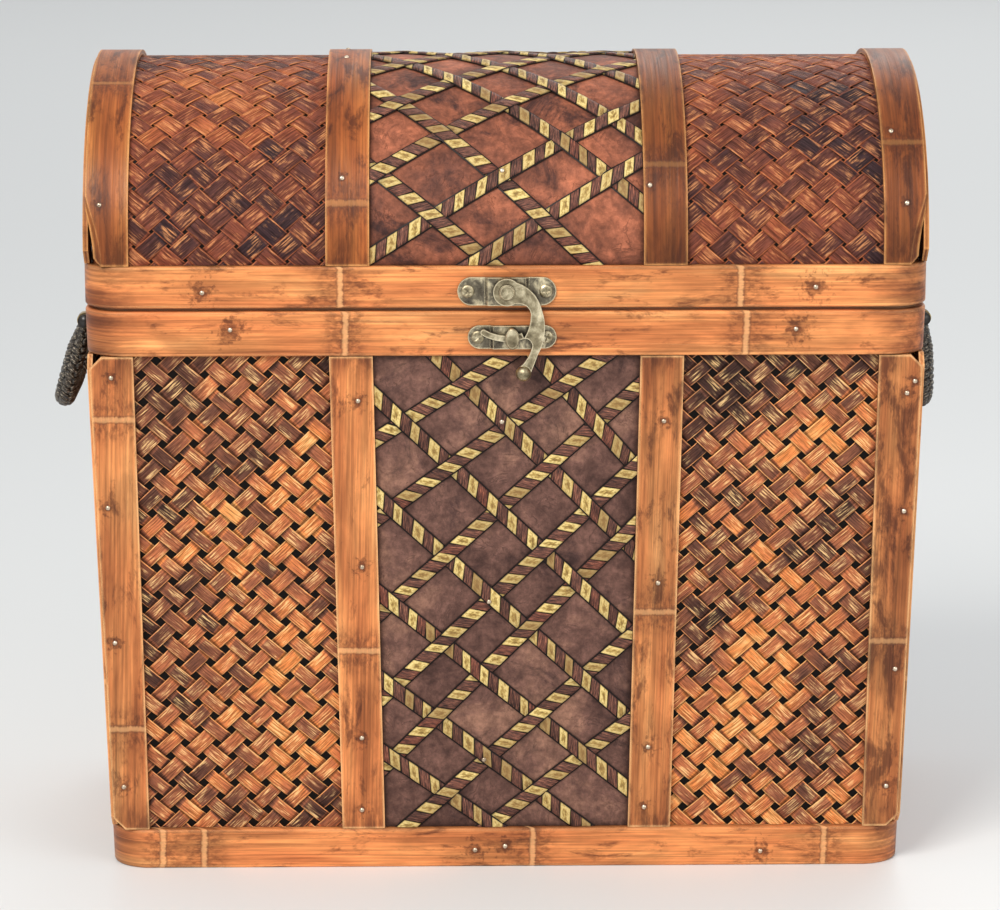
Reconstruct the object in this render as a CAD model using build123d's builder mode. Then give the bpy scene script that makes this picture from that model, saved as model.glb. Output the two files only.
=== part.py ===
from build123d import *
import os
from math import atan, cos, degrees, hypot, radians, sin

# Domed trunk of bamboo bands and straps over woven mats, with a swing hook latch, two
# hinges and a braided handle on each end. Millimetres, +Z up, front towards -Y.
# The origin is on the floor under the middle of the trunk.

# Overall sizes, outside the bands at the seam between body and lid
trunk_width = 357.5
trunk_depth = 184.0
seam_height = 247.8
side_lean = 6.75
arch_rise = 75.6
arch_foot = 20.7

# Boards and skins
board_thickness = 6.0
bottom_thickness = 6.0
post_size = 14.0
corner_radius = 13.0
mat_thickness = 1.2
lattice_thickness = 1.2

# Bamboo bands around the trunk
band_thickness = 4.0
base_band_height = 17.5
rim_band_height = 19.2
lid_band_height = 17.7
band_setback = 0.75
band_edge_round = 1.0

# Bamboo straps, up the body and over the lid
strap_thickness = 2.2
strap_width = 18.4
strap_overhang = 2.2
strap_cut = 5.0
body_strap_top = 65.9
body_strap_foot = 62.1
end_strap_top_width = 18.5
end_strap_foot_width = 15.4
lid_strap_place = 67.0
lid_end_strap_width = 17.95
lid_strap_cut = 6.5

# Lattice of flat braids on the middle panels. Each braid is laid by hand, so it has its own
# two heights, at lattice_reach to the left and to the right of the middle. The first and the
# last of each list lie outside the panel and only close the meshes at its corners.
braid_width = 5.5
lattice_reach = 60.0
front_rising = [
    (-110.0, -10.0), (-23.0, 71.2), (2.8, 109.7), (38.1, 158.2), (70.5, 183.9),
    (109.4, 217.6), (153.0, 240.9), (188.4, 266.0), (240.0, 330.0),
]
front_falling = [
    (10.0, -80.0), (56.7, -28.4), (89.6, -3.1), (128.0, 28.8), (170.9, 60.2),
    (214.3, 99.4), (258.2, 136.4), (310.0, 173.1), (370.0, 240.0),
]

# The same over the lid, where a height is a distance along the arch behind its crown
lid_rising = [
    (-230.0, -140.0), (-160.5, -85.7), (-130.4, -56.0), (-96.6, -17.2), (-65.9, 17.1),
    (-32.0, 50.0), (1.0, 83.0), (34.0, 116.0), (67.0, 149.0), (135.0, 215.0),
]
lid_falling = [
    (-150.0, -240.0), (-88.4, -186.4), (-42.7, -154.7), (-5.3, -109.1), (26.7, -78.7),
    (62.0, -44.0), (97.0, -9.0), (132.0, 26.0), (167.0, 61.0), (202.0, 96.0), (260.0, 140.0),
]

# Swing hook latch on the front
latch_drop = 1.6
hook_plate_width = 41.6
hook_plate_height = 12.0
catch_plate_width = 37.4
catch_plate_height = 10.0
plate_thickness = 1.0
plate_step_width = 16.0
plate_step = 1.3
hook_screw_place = 16.5
catch_screw_place = 14.5
hook_thickness = 1.9
hook_eye_radius = 5.8
hook_reach = 19.7
hook_ball_radius = 3.3
horn_width = 2.5
horn_tip_turn = 240.0
horn_sweep = 50.0
rivet_radius = 2.0
rivet_head_radius = 3.35
rivet_head_height = 1.1
catch_turn = 276.6
stud_neck_radius = 1.4
stud_head_width = 5.9
stud_head_height = 8.8
stud_head_thickness = 1.5

# Screws with domed heads
screw_head_radius = 2.8
screw_head_height = 0.8
screw_radius = 1.3
screw_bite = 2.4

# Butt hinges on the back
hinge_place = 100.0
hinge_length = 38.0
hinge_leaf_height = 13.5
hinge_leaf_thickness = 1.1
hinge_knuckle_radius = 2.4
hinge_pin_radius = 1.2
hinge_pin_head = 0.8
hinge_screw_place = 12.5
hinge_screw_height = 9.0
knuckle_gap = 0.3

# Braided handles on the ends
handle_radius = 4.6
handle_end_radius = 2.25
handle_reach = 40.5
handle_span = 80.0
handle_bend = 22.0
handle_taper = 14.0
handle_drop = 11.0
handle_stand = 3.4
handle_knob_radius = 2.8
handle_knob_length = 2.0
left_handle_lean = 17.0
right_handle_lean = 4.0
clip_width = 5.0
clip_play = 0.8
clip_wall = 1.0
clip_base = 0.8
clip_foot = 4.4
clip_screw_head_radius = 1.6
clip_screw_radius = 0.8

# Clearances
edge_gap = 0.2
running_gap = 0.08
moving_gap = 0.35

# Lengths that follow from the sizes above
half_width = trunk_width / 2 - band_thickness
half_depth = trunk_depth / 2 - band_thickness
lean_angle = degrees(atan(side_lean / seam_height))
rim_band_top = seam_height - band_setback
rim_band_low = rim_band_top - rim_band_height
lid_band_low = seam_height + band_setback
lid_band_top = lid_band_low + lid_band_height
spring_height = seam_height + arch_foot
crown_height = spring_height + arch_rise
skin = mat_thickness + strap_thickness
beyond = 20.0

os.makedirs("parts", exist_ok=True)


def save(piece, name):
    """Label a finished piece and write it to its own file."""
    piece.part.label = name
    export_step(piece.part, f"parts/{name}.step")


def leaning_block(low, high, margin_x, margin_y, radius=0.0):
    """Solid between two heights whose four sides lean as the body's boards do."""
    with BuildPart() as block:
        for height in (low, high):
            lean = side_lean * (seam_height - height) / seam_height
            wide = 2 * (half_width - lean + margin_x)
            deep = 2 * (half_depth - lean + margin_y)
            with BuildSketch(Plane.XY.offset(height)):
                if radius:
                    RectangleRounded(wide, deep, radius)
                else:
                    Rectangle(wide, deep)
        loft(ruled=True)
    return block.part


def side_plane(outward, margin):
    """Plane on a leaning side of the body; its own y runs up the side."""
    out_x, out_y = outward
    reach = (half_width if out_x else half_depth) - side_lean + margin
    tilt = radians(lean_angle)
    normal = (out_x * cos(tilt), out_y * cos(tilt), -sin(tilt))
    return Plane(origin=(out_x * reach, out_y * reach, 0), x_dir=(-out_y, out_x, 0), z_dir=normal)


def up(height):
    """Distance up a leaning side to a height above the floor."""
    return height / cos(radians(lean_angle))


def arch_slab(margin, left, right, low):
    """Slab with the lid's arched outline, from one x to another, down to a height."""
    half = half_depth + margin
    with BuildPart() as slab:
        with BuildSketch(Plane.YZ.offset(left)):
            with BuildLine():
                EllipticalCenterArc((0, spring_height), half, arch_rise + margin, arc_size=180)
                Polyline((-half, spring_height), (-half, low), (half, low), (half, spring_height))
            make_face()
        extrude(amount=right - left)
    return slab.part


def lid_plan(margin, low, high):
    """Upright block with the lid's rounded plan."""
    with BuildPart() as block:
        with BuildSketch(Plane.XY.offset(low)):
            RectangleRounded(
                2 * (half_width + margin), 2 * (half_depth + margin), corner_radius + margin
            )
        extrude(amount=high - low)
    return block.part


# Corner posts of the body, rounded outside
with BuildPart() as corner_posts:
    add(leaning_block(0, seam_height, 0, 0, corner_radius))
    add(leaning_block(-beyond, seam_height + beyond, -post_size, beyond), mode=Mode.SUBTRACT)
    add(leaning_block(-beyond, seam_height + beyond, beyond, -post_size), mode=Mode.SUBTRACT)
save(corner_posts, "corner_posts")

# Wall boards of the body, each between two posts
walls = {
    "front_board": (Plane.XZ, Keep.TOP),
    "back_board": (Plane.XZ, Keep.BOTTOM),
    "left_board": (Plane.YZ, Keep.BOTTOM),
    "right_board": (Plane.YZ, Keep.TOP),
}
for wall_name, (middle, side) in walls.items():
    faces_front = middle == Plane.XZ
    with BuildPart() as wall:
        if faces_front:
            add(leaning_block(0, seam_height, -post_size, 0))
            add(
                leaning_block(-beyond, seam_height + beyond, beyond, -board_thickness),
                mode=Mode.SUBTRACT,
            )
        else:
            add(leaning_block(0, seam_height, 0, -post_size))
            add(
                leaning_block(-beyond, seam_height + beyond, -board_thickness, beyond),
                mode=Mode.SUBTRACT,
            )
        split(bisect_by=middle, keep=side)
    save(wall, wall_name)

# Bottom board, let in between the walls and around the posts
with BuildPart() as bottom_board:
    add(leaning_block(0, bottom_thickness, -board_thickness, -board_thickness))
    add(corner_posts.part, mode=Mode.SUBTRACT)
save(bottom_board, "bottom_board")


# Places of the screws that hold the latch, the hinges and the handles. A set of screws is
# the plane that their heads lie on, their places on it, and how far a hole goes in.
latch_plane = Plane(
    origin=(0, -trunk_depth / 2, (lid_band_low + lid_band_top) / 2 - latch_drop),
    x_dir=(1, 0, 0),
    z_dir=(0, -1, 0),
)
catch_rise = latch_plane.origin.Z + hook_reach * sin(radians(catch_turn))
catch_across = hook_reach * cos(radians(catch_turn))
handle_height = rim_band_top - handle_drop
clip_reach = handle_end_radius + running_gap + clip_wall + clip_foot / 2
clip_across = handle_span / 2 + handle_end_radius + clip_play + clip_width / 2
hinge_low = rim_band_top - edge_gap - hinge_leaf_height
hinge_high = lid_band_low + edge_gap + hinge_leaf_height

hook_screws_set = [(place, 0) for place in (-hook_screw_place, hook_screw_place)]
catch_screws_set = [
    (catch_across + place, up(catch_rise)) for place in (-catch_screw_place, catch_screw_place)
]
hinge_screws_across = [
    middle + place
    for middle in (-hinge_place, hinge_place)
    for place in (-hinge_screw_place, hinge_screw_place)
]
hinge_body_screws_set = [
    (across, up(seam_height - hinge_screw_height)) for across in hinge_screws_across
]
hinge_lid_screws_set = [(across, hinge_screw_height) for across in hinge_screws_across]
clip_screws_set = [
    (side * clip_across, up(handle_height) + rise)
    for side in (-1, 1)
    for rise in (-clip_reach, clip_reach)
]
lid_back_plane = Plane(
    origin=(0, trunk_depth / 2, seam_height), x_dir=(-1, 0, 0), z_dir=(0, 1, 0)
)


def drill(plane, places, radius, depth):
    """Holes into a plane at the given places."""
    with Locations(*[plane.location * Location((*place, 0)) for place in places]):
        Cylinder(radius, depth, align=(Align.CENTER, Align.CENTER, Align.MAX), mode=Mode.SUBTRACT)


def screws(plane, places, head_radius, shank_radius, shank_length):
    """Screws whose domed heads lie on a plane at the given places."""
    with BuildPart() as group:
        with Locations(*[plane.location * Location((*place, 0)) for place in places]):
            Cylinder(shank_radius, shank_length, align=(Align.CENTER, Align.CENTER, Align.MAX))
            Cone(
                head_radius,
                head_radius * 0.6,
                screw_head_height,
                align=(Align.CENTER, Align.CENTER, Align.MIN),
            )
    return group


def leaning_band(low, high):
    """Bamboo band bent around the body between two heights."""
    with BuildPart() as band:
        add(leaning_block(low, high, band_thickness, band_thickness, corner_radius + band_thickness))
        outside = band.edges().filter_by_position(Axis.Z, low - 1, low + 1)
        outside += band.edges().filter_by_position(Axis.Z, high - 1, high + 1)
        fillet(outside, band_edge_round)
        add(leaning_block(low - beyond, high + beyond, 0, 0, corner_radius), mode=Mode.SUBTRACT)
    return band.part


with BuildPart() as base_band:
    add(leaning_band(0, base_band_height))
save(base_band, "base_band")

with BuildPart() as body_rim_band:
    add(leaning_band(rim_band_low, rim_band_top))
    drill(side_plane((0, -1), band_thickness), catch_screws_set, screw_radius, screw_bite)
    drill(side_plane((0, 1), band_thickness), hinge_body_screws_set, screw_radius, screw_bite)
    for out_x in (-1, 1):
        drill(side_plane((out_x, 0), band_thickness), clip_screws_set, clip_screw_radius, screw_bite)
save(body_rim_band, "body_rim_band")


# Skins of the body: a woven mat wraps each end, and the middle of the front and back is a
# sheet of its own. Their joints lie under the middle straps.
skin_low = base_band_height + edge_gap
skin_high = rim_band_low - edge_gap


def middle_block(low, high):
    """Block as wide as the middle panel, which narrows towards the floor."""
    slope = (body_strap_top - body_strap_foot) / (skin_high - skin_low)
    with BuildPart() as block:
        for height in (low, high):
            half = body_strap_foot + slope * (height - skin_low)
            with BuildSketch(Plane.XY.offset(height)):
                Rectangle(2 * half, 2 * trunk_depth)
        loft(ruled=True)
    return block.part


def body_skin():
    """The whole woven skin around the body, in one piece."""
    with BuildPart() as wrap:
        add(leaning_block(skin_low, skin_high, mat_thickness, mat_thickness, corner_radius + mat_thickness))
        add(leaning_block(-beyond, seam_height + beyond, 0, 0, corner_radius), mode=Mode.SUBTRACT)
    return wrap.part


for mat_name, side in (("left_mat", Keep.BOTTOM), ("right_mat", Keep.TOP)):
    with BuildPart() as mat:
        add(body_skin())
        add(middle_block(skin_low - beyond, skin_high + beyond), mode=Mode.SUBTRACT)
        split(bisect_by=Plane.YZ, keep=side)
    save(mat, mat_name)

for panel_name, side in (("front_panel", Keep.TOP), ("back_mat", Keep.BOTTOM)):
    with BuildPart() as panel:
        add(body_skin())
        add(middle_block(skin_low - beyond, skin_high + beyond), mode=Mode.INTERSECT)
        split(bisect_by=Plane.XZ, keep=side)
    save(panel, panel_name)


def braid_corner(rising, rising_side, falling, falling_side):
    """Point where one edge of a rising braid meets one edge of a falling braid."""
    lines = []
    for (left, right), side in ((rising, rising_side), (falling, falling_side)):
        slope = (right - left) / (2 * lattice_reach)
        lines.append((slope, (left + right) / 2 + side * braid_width / 2 * hypot(1, slope)))
    (rising_slope, rising_start), (falling_slope, falling_start) = lines
    across = (falling_start - rising_start) / (rising_slope - falling_slope)
    return (across, rising_start + rising_slope * across)


def lattice_meshes(rising, falling, low, high):
    """Four corners of each open mesh of a lattice that reaches between two heights."""
    meshes = []
    for lower_rising, upper_rising in zip(rising, rising[1:]):
        for lower_falling, upper_falling in zip(falling, falling[1:]):
            foot = braid_corner(lower_rising, 1, lower_falling, 1)
            right = braid_corner(lower_rising, 1, upper_falling, -1)
            top = braid_corner(upper_rising, -1, upper_falling, -1)
            left = braid_corner(upper_rising, -1, lower_falling, 1)
            inside = top[1] > low and foot[1] < high
            if inside and left[0] < lattice_reach and right[0] > -lattice_reach:
                meshes.append((foot, right, top, left))
    return meshes


# Braid lattice on the front panel, between the middle straps. Loose crumbs of braid in the
# corners are left out.
lattice_foot = body_strap_foot - strap_width / 2 - edge_gap
lattice_top = body_strap_top - strap_width / 2 - edge_gap
with BuildPart() as front_braids:
    with BuildSketch(side_plane((0, -1), mat_thickness)):
        with BuildLine():
            Polyline(
                (-lattice_foot, up(skin_low)),
                (lattice_foot, up(skin_low)),
                (lattice_top, up(skin_high)),
                (-lattice_top, up(skin_high)),
                close=True,
            )
        make_face()
        for corners in lattice_meshes(front_rising, front_falling, up(skin_low), up(skin_high)):
            with BuildLine():
                Polyline(*corners, close=True)
            make_face(mode=Mode.SUBTRACT)
    extrude(amount=lattice_thickness)
with BuildPart() as front_lattice:
    add(front_braids.part.solids().sort_by(SortBy.VOLUME)[-1])
save(front_lattice, "front_lattice")


# Straps up the body
def strap_outline(inner_foot, inner_top, outer_foot, outer_top, cut):
    """Corners of a strap on a side, its outer corners cut off where cut isn't zero."""
    low = up(skin_low)
    high = up(skin_high)
    if cut:
        outer = [
            (outer_foot - cut, low),
            (outer_foot, low + cut),
            (outer_top, high - cut),
            (outer_top - cut, high),
        ]
    else:
        outer = [(outer_foot, low), (outer_top, high)]
    return [(inner_foot, low), *outer, (inner_top, high)]


def body_strap(outward, outline, mirrored):
    """Flat strap nailed on a leaning side of the body."""
    if mirrored:
        outline = [(-across, along) for across, along in outline]
    with BuildPart() as strap:
        with BuildSketch(side_plane(outward, mat_thickness)):
            with BuildLine():
                Polyline(*outline, close=True)
            make_face()
        extrude(amount=strap_thickness)
    return strap


edge_foot = half_width - side_lean * (seam_height - skin_low) / seam_height + strap_overhang
edge_top = half_width - side_lean * (seam_height - skin_high) / seam_height + strap_overhang
middle_strap = strap_outline(
    body_strap_foot - strap_width / 2,
    body_strap_top - strap_width / 2,
    body_strap_foot + strap_width / 2,
    body_strap_top + strap_width / 2,
    0,
)
edge_strap = strap_outline(
    edge_foot - end_strap_foot_width, edge_top - end_strap_top_width, edge_foot, edge_top, strap_cut
)
for face_name, outward in (("front", (0, -1)), ("back", (0, 1))):
    for hand, mirrored in (("left", outward[1] < 0), ("right", outward[1] > 0)):
        save(body_strap(outward, edge_strap, mirrored), f"{face_name}_strap_{hand}")
        save(body_strap(outward, middle_strap, mirrored), f"{face_name}_strap_middle_{hand}")

# Straps on the ends of the body, close behind the edge straps of the front and back
corner_foot = half_depth - side_lean * (seam_height - skin_low) / seam_height + mat_thickness - edge_gap
corner_top = half_depth - side_lean * (seam_height - skin_high) / seam_height + mat_thickness - edge_gap
corner_strap = strap_outline(
    corner_foot - strap_width, corner_top - strap_width, corner_foot, corner_top, strap_cut
)
for hand, out_x in (("left", -1), ("right", 1)):
    with BuildPart() as end_straps:
        add(body_strap((out_x, 0), corner_strap, False).part)
        add(body_strap((out_x, 0), corner_strap, True).part)
    save(end_straps, f"{hand}_end_straps")

# Lid boards: a bent board for the dome and two half moon ends
inside_end = half_width - board_thickness
with BuildPart() as dome_board:
    add(arch_slab(0, -inside_end, inside_end, seam_height))
    add(
        arch_slab(-board_thickness, -inside_end - 1, inside_end + 1, seam_height - 1),
        mode=Mode.SUBTRACT,
    )
    add(lid_plan(0, seam_height, crown_height + beyond), mode=Mode.INTERSECT)
save(dome_board, "dome_board")

for hand, start in (("left", -half_width), ("right", inside_end)):
    with BuildPart() as lid_end:
        add(arch_slab(0, start, start + board_thickness, seam_height))
        add(lid_plan(0, seam_height, crown_height + beyond), mode=Mode.INTERSECT)
    save(lid_end, f"lid_{hand}_end")

# Bamboo band around the rim of the lid
with BuildPart() as lid_rim_band:
    add(lid_plan(band_thickness, lid_band_low, lid_band_top))
    rims = lid_rim_band.edges().filter_by(Axis.Z, reverse=True)
    fillet(rims, band_edge_round)
    add(lid_plan(0, lid_band_low - beyond, lid_band_top + beyond), mode=Mode.SUBTRACT)
    drill(latch_plane, hook_screws_set, screw_radius, screw_bite)
    drill(latch_plane, [(0, 0)], rivet_radius, screw_bite)
    drill(lid_back_plane, hinge_lid_screws_set, screw_radius, screw_bite)
save(lid_rim_band, "lid_rim_band")

# Skins of the lid, over the dome
lid_skin_low = lid_band_top + edge_gap


def dome_skin(inner_margin, outer_margin, left, right):
    """Sheet bent over the dome from one x to another."""
    with BuildPart() as sheet:
        add(arch_slab(outer_margin, left, right, lid_skin_low))
        add(
            arch_slab(inner_margin, left - 1, right + 1, lid_skin_low - beyond),
            mode=Mode.SUBTRACT,
        )
        add(lid_plan(outer_margin + strap_overhang, 0, 2 * crown_height), mode=Mode.INTERSECT)
    return sheet


save(dome_skin(0, mat_thickness, -half_width, -lid_strap_place), "lid_left_mat")
save(dome_skin(0, mat_thickness, lid_strap_place, half_width), "lid_right_mat")
save(dome_skin(0, mat_thickness, -lid_strap_place, lid_strap_place), "lid_panel")

for hand, start in (("left", -half_width - mat_thickness), ("right", half_width)):
    with BuildPart() as end_mat:
        add(arch_slab(mat_thickness, start, start + mat_thickness, lid_skin_low))
        add(lid_plan(mat_thickness, 0, 2 * crown_height), mode=Mode.INTERSECT)
    save(end_mat, f"lid_{hand}_end_mat")

# Straps over the dome; the two outer ones have their lower corners cut off
for hand, out_x in (("left", -1), ("right", 1)):
    middle_edges = sorted(
        (
            out_x * (lid_strap_place - strap_width / 2),
            out_x * (lid_strap_place + strap_width / 2),
        )
    )
    save(dome_skin(mat_thickness, skin, *middle_edges), f"lid_strap_middle_{hand}")
    outer_edge = out_x * (half_width + strap_overhang)
    edge_edges = sorted((outer_edge - out_x * lid_end_strap_width, outer_edge))
    with BuildPart() as lid_strap:
        add(dome_skin(mat_thickness, skin, *edge_edges).part)
        with BuildSketch(Plane.XZ.offset(-trunk_depth)):
            with BuildLine():
                Polyline(
                    (outer_edge, lid_skin_low),
                    (outer_edge - out_x * lid_strap_cut, lid_skin_low),
                    (outer_edge, lid_skin_low + lid_strap_cut),
                    close=True,
                )
            make_face()
        extrude(amount=2 * trunk_depth, mode=Mode.SUBTRACT)
    save(lid_strap, f"lid_strap_{hand}")

# Hoops on the ends of the lid, close behind the outer straps
for hand, start in (
    ("left", -half_width - skin),
    ("right", half_width + mat_thickness),
):
    hoop_margin = mat_thickness - edge_gap
    hoop_edge = half_depth + hoop_margin
    with BuildPart() as hoop:
        add(arch_slab(hoop_margin, start, start + strap_thickness, lid_skin_low))
        add(
            arch_slab(hoop_margin - strap_width, start - 1, start + strap_thickness + 1, 0),
            mode=Mode.SUBTRACT,
        )
        with BuildSketch(Plane.YZ.offset(start)):
            for out_y in (-1, 1):
                with BuildLine():
                    Polyline(
                        (out_y * hoop_edge, lid_skin_low),
                        (out_y * (hoop_edge - lid_strap_cut), lid_skin_low),
                        (out_y * hoop_edge, lid_skin_low + lid_strap_cut),
                        close=True,
                    )
                make_face()
        extrude(amount=strap_thickness, mode=Mode.SUBTRACT)
    save(hoop, f"lid_{hand}_end_hoop")

# Braid lattice over the middle of the lid, its open meshes cut square to the dome
with BuildLine(Plane.YZ) as dome_line:
    EllipticalCenterArc(
        (0, spring_height), half_depth + mat_thickness, arch_rise + mat_thickness, arc_size=180
    )
dome_arch = dome_line.edges()[0]


def dome_plane(across, along, sunk):
    """Plane square to the dome, at a distance along the arch from its crown."""
    share = 0.5 - along / dome_arch.length
    tangent = dome_arch.tangent_at(share)
    normal = Vector(0, tangent.Z, -tangent.Y)
    if normal.Z < 0:
        normal = -normal
    middle = dome_arch.position_at(share) - normal * sunk
    return Plane(origin=(across, middle.Y, middle.Z), x_dir=(1, 0, 0), z_dir=normal)


arch_half = dome_arch.length / 2
with BuildPart() as lid_braids:
    lattice_edge = lid_strap_place - strap_width / 2 - edge_gap
    lattice_skin = mat_thickness + lattice_thickness
    add(dome_skin(mat_thickness, lattice_skin, -lattice_edge, lattice_edge).part)
    for corners in lattice_meshes(lid_rising, lid_falling, -arch_half, arch_half):
        across = sum(corner[0] for corner in corners) / 4
        along = sum(corner[1] for corner in corners) / 4
        along = max(-arch_half, min(arch_half, along))
        with BuildSketch(dome_plane(across, along, lattice_thickness)):
            with BuildLine():
                Polyline(*[(x - across, y - along) for x, y in corners], close=True)
            make_face()
        extrude(amount=4 * lattice_thickness, mode=Mode.SUBTRACT)
with BuildPart() as lid_lattice:
    add(lid_braids.part.solids().sort_by(SortBy.VOLUME)[-1])
save(lid_lattice, "lid_lattice")


# Latch plates, each a strip with a raised middle
def stepped_plate(plane, width, height):
    """Strip with round ends that lies on a plane, its middle raised by a step."""
    half = width / 2
    step_half = plate_step_width / 2
    top = plate_thickness + plate_step
    with BuildPart() as plate:
        with BuildSketch(plane):
            SlotOverall(width, height)
        extrude(amount=top)
        with BuildSketch(Plane(origin=plane.origin, x_dir=plane.x_dir, z_dir=plane.y_dir)):
            with BuildLine():
                Polyline(
                    (-half, 0),
                    (half, 0),
                    (half, -plate_thickness),
                    (step_half + plate_step, -plate_thickness),
                    (step_half, -top),
                    (-step_half, -top),
                    (-step_half - plate_step, -plate_thickness),
                    (-half, -plate_thickness),
                    close=True,
                )
            make_face()
        extrude(amount=height, both=True, mode=Mode.INTERSECT)
    return plate.part


with BuildPart() as hook_plate:
    add(stepped_plate(latch_plane, hook_plate_width, hook_plate_height))
    drill(latch_plane.offset(plate_thickness), hook_screws_set, screw_radius, 2 * plate_thickness)
    drill(latch_plane.offset(2 * plate_thickness + plate_step), [(0, 0)], rivet_radius, beyond)
save(hook_plate, "hook_plate")
save(
    screws(
        latch_plane.offset(plate_thickness),
        hook_screws_set,
        screw_head_radius,
        screw_radius,
        plate_thickness + screw_bite,
    ),
    "hook_screws",
)

catch_face = side_plane((0, -1), band_thickness)
catch_plane = Plane(
    origin=catch_face.from_local_coords((catch_across, up(catch_rise), 0)),
    x_dir=catch_face.x_dir,
    z_dir=catch_face.z_dir,
)
with BuildPart() as catch_plate:
    add(stepped_plate(catch_plane, catch_plate_width, catch_plate_height))
    drill(catch_face.offset(plate_thickness), catch_screws_set, screw_radius, 2 * plate_thickness)
save(catch_plate, "catch_plate")
save(
    screws(
        catch_face.offset(plate_thickness),
        catch_screws_set,
        screw_head_radius,
        screw_radius,
        plate_thickness + screw_bite,
    ),
    "catch_screws",
)

# Hook, which turns on a rivet and lies in front of both plates
hook_back = plate_thickness + plate_step + moving_gap
hook_plane = latch_plane.offset(hook_back)
horn_inside = hook_reach - horn_width / 2
ball_place = (0.353 * hook_reach, -1.764 * hook_reach)


def reach(across, along):
    """Point of the hook's outline, given in parts of its reach from rivet to horn."""
    return (across * hook_reach, along * hook_reach)


with BuildPart() as hook:
    with BuildSketch(hook_plane):
        Circle(hook_eye_radius)
        with BuildLine():
            ThreePointArc(reach(0.20, 0.21), reach(0.51, 0.03), reach(0.74, -0.37))
            ThreePointArc(reach(0.74, -0.37), reach(0.81, -0.79), reach(0.66, -1.35))
            Line(reach(0.66, -1.35), reach(0.51, -1.75))
            Line(reach(0.51, -1.75), reach(0.24, -1.65))
            ThreePointArc(reach(0.24, -1.65), reach(0.42, -1.46), reach(0.54, -1.19))
            ThreePointArc(reach(0.54, -1.19), reach(0.49, -1.04), reach(0.36, -1.00))
            ThreePointArc(reach(0.36, -1.00), reach(0.47, -0.77), reach(0.51, -0.53))
            ThreePointArc(reach(0.51, -0.53), reach(0.45, -0.33), reach(0.27, -0.25))
            Polyline(reach(0.27, -0.25), reach(0.0, -0.25), reach(0.0, 0.0), reach(0.20, 0.21))
        make_face()
        with BuildLine():
            outside = CenterArc((0, 0), hook_reach + horn_width / 2, horn_tip_turn, horn_sweep)
            inside = CenterArc((0, 0), hook_reach - horn_width / 2, horn_tip_turn, horn_sweep)
            Line(outside @ 0, inside @ 0)
            Line(outside @ 1, inside @ 1)
        make_face()
        with PolarLocations(hook_reach, 1, horn_tip_turn):
            Circle(horn_width / 2)
        Circle(rivet_radius + running_gap, mode=Mode.SUBTRACT)
    extrude(amount=hook_thickness)
    with Locations(hook_plane.offset(hook_thickness / 2 + moving_gap).location * Location((*ball_place, 0))):
        Sphere(hook_ball_radius)
save(hook, "hook")

with BuildPart() as hook_rivet:
    with BuildSketch(latch_plane.offset(-screw_bite)):
        Circle(rivet_radius)
    extrude(amount=screw_bite + hook_back + hook_thickness + moving_gap)
    with BuildSketch(hook_plane.offset(hook_thickness + moving_gap)):
        Circle(rivet_head_radius)
    extrude(amount=rivet_head_height)
    chamfer(hook_rivet.edges().group_by(Axis.Y)[0], rivet_head_height / 2)
save(hook_rivet, "hook_rivet")

# Stud of the catch: its neck stands inside the horn's curve, its head in front of the horn
neck_reach = horn_inside - moving_gap - stud_neck_radius
neck_place = (
    (neck_reach - hook_reach) * cos(radians(catch_turn)),
    (neck_reach - hook_reach) * sin(radians(catch_turn)),
)
stud_rise = hook_back + hook_thickness + 2 * moving_gap
with BuildPart() as catch_stud:
    with BuildSketch(catch_plane.offset(plate_thickness + plate_step)):
        with Locations(neck_place):
            Circle(stud_neck_radius)
    extrude(amount=stud_rise - plate_thickness - plate_step)
    with BuildSketch(catch_plane.offset(stud_rise)):
        Ellipse(stud_head_width / 2, stud_head_height / 2)
    extrude(amount=stud_head_thickness)
    chamfer(catch_stud.edges().group_by(Axis.Y)[0], stud_head_thickness / 3)
save(catch_stud, "catch_stud")

# Hinges, with the pin's axis behind the bands at the seam
hinge_axis_y = trunk_depth / 2 + hinge_knuckle_radius + edge_gap
knuckle = hinge_length / 3


def hinge_barrel(middle, start, length, radius):
    """Round bar on the hinge axis, from a place along the hinge."""
    with BuildPart() as bar:
        with BuildSketch(Plane.YZ.offset(middle - hinge_length / 2 + start)):
            with Locations((hinge_axis_y, seam_height)):
                Circle(radius)
        extrude(amount=length)
    return bar.part


def hinge_leaves(plane, low, high, own, other):
    """The pair of leaves that lie on a plane, with knuckles at `own` and room at `other`."""
    with BuildPart() as leaves:
        for middle in (-hinge_place, hinge_place):
            with BuildSketch(plane):
                with Locations((-middle, (low + high) / 2)):
                    Rectangle(hinge_length, high - low)
            extrude(amount=hinge_leaf_thickness)
            for start in other:
                room = hinge_knuckle_radius + moving_gap
                add(hinge_barrel(middle, start, knuckle, room), mode=Mode.SUBTRACT)
            for start in own:
                first = start + knuckle_gap / 2
                add(hinge_barrel(middle, first, knuckle - knuckle_gap, hinge_knuckle_radius))
    return leaves.part


with BuildPart() as hinge_body_leaves:
    hinge_face = side_plane((0, 1), band_thickness)
    add(hinge_leaves(hinge_face, up(hinge_low), up(rim_band_top), (0, 2 * knuckle), (knuckle,)))
    for middle in (-hinge_place, hinge_place):
        add(hinge_barrel(middle, -1, hinge_length + 2, hinge_pin_radius), mode=Mode.SUBTRACT)
    drill(
        hinge_face.offset(hinge_leaf_thickness),
        hinge_body_screws_set,
        screw_radius,
        2 * hinge_leaf_thickness,
    )
save(hinge_body_leaves, "hinge_body_leaves")
save(
    screws(
        hinge_face.offset(hinge_leaf_thickness),
        hinge_body_screws_set,
        screw_head_radius,
        screw_radius,
        hinge_leaf_thickness + screw_bite,
    ),
    "hinge_body_screws",
)

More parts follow.
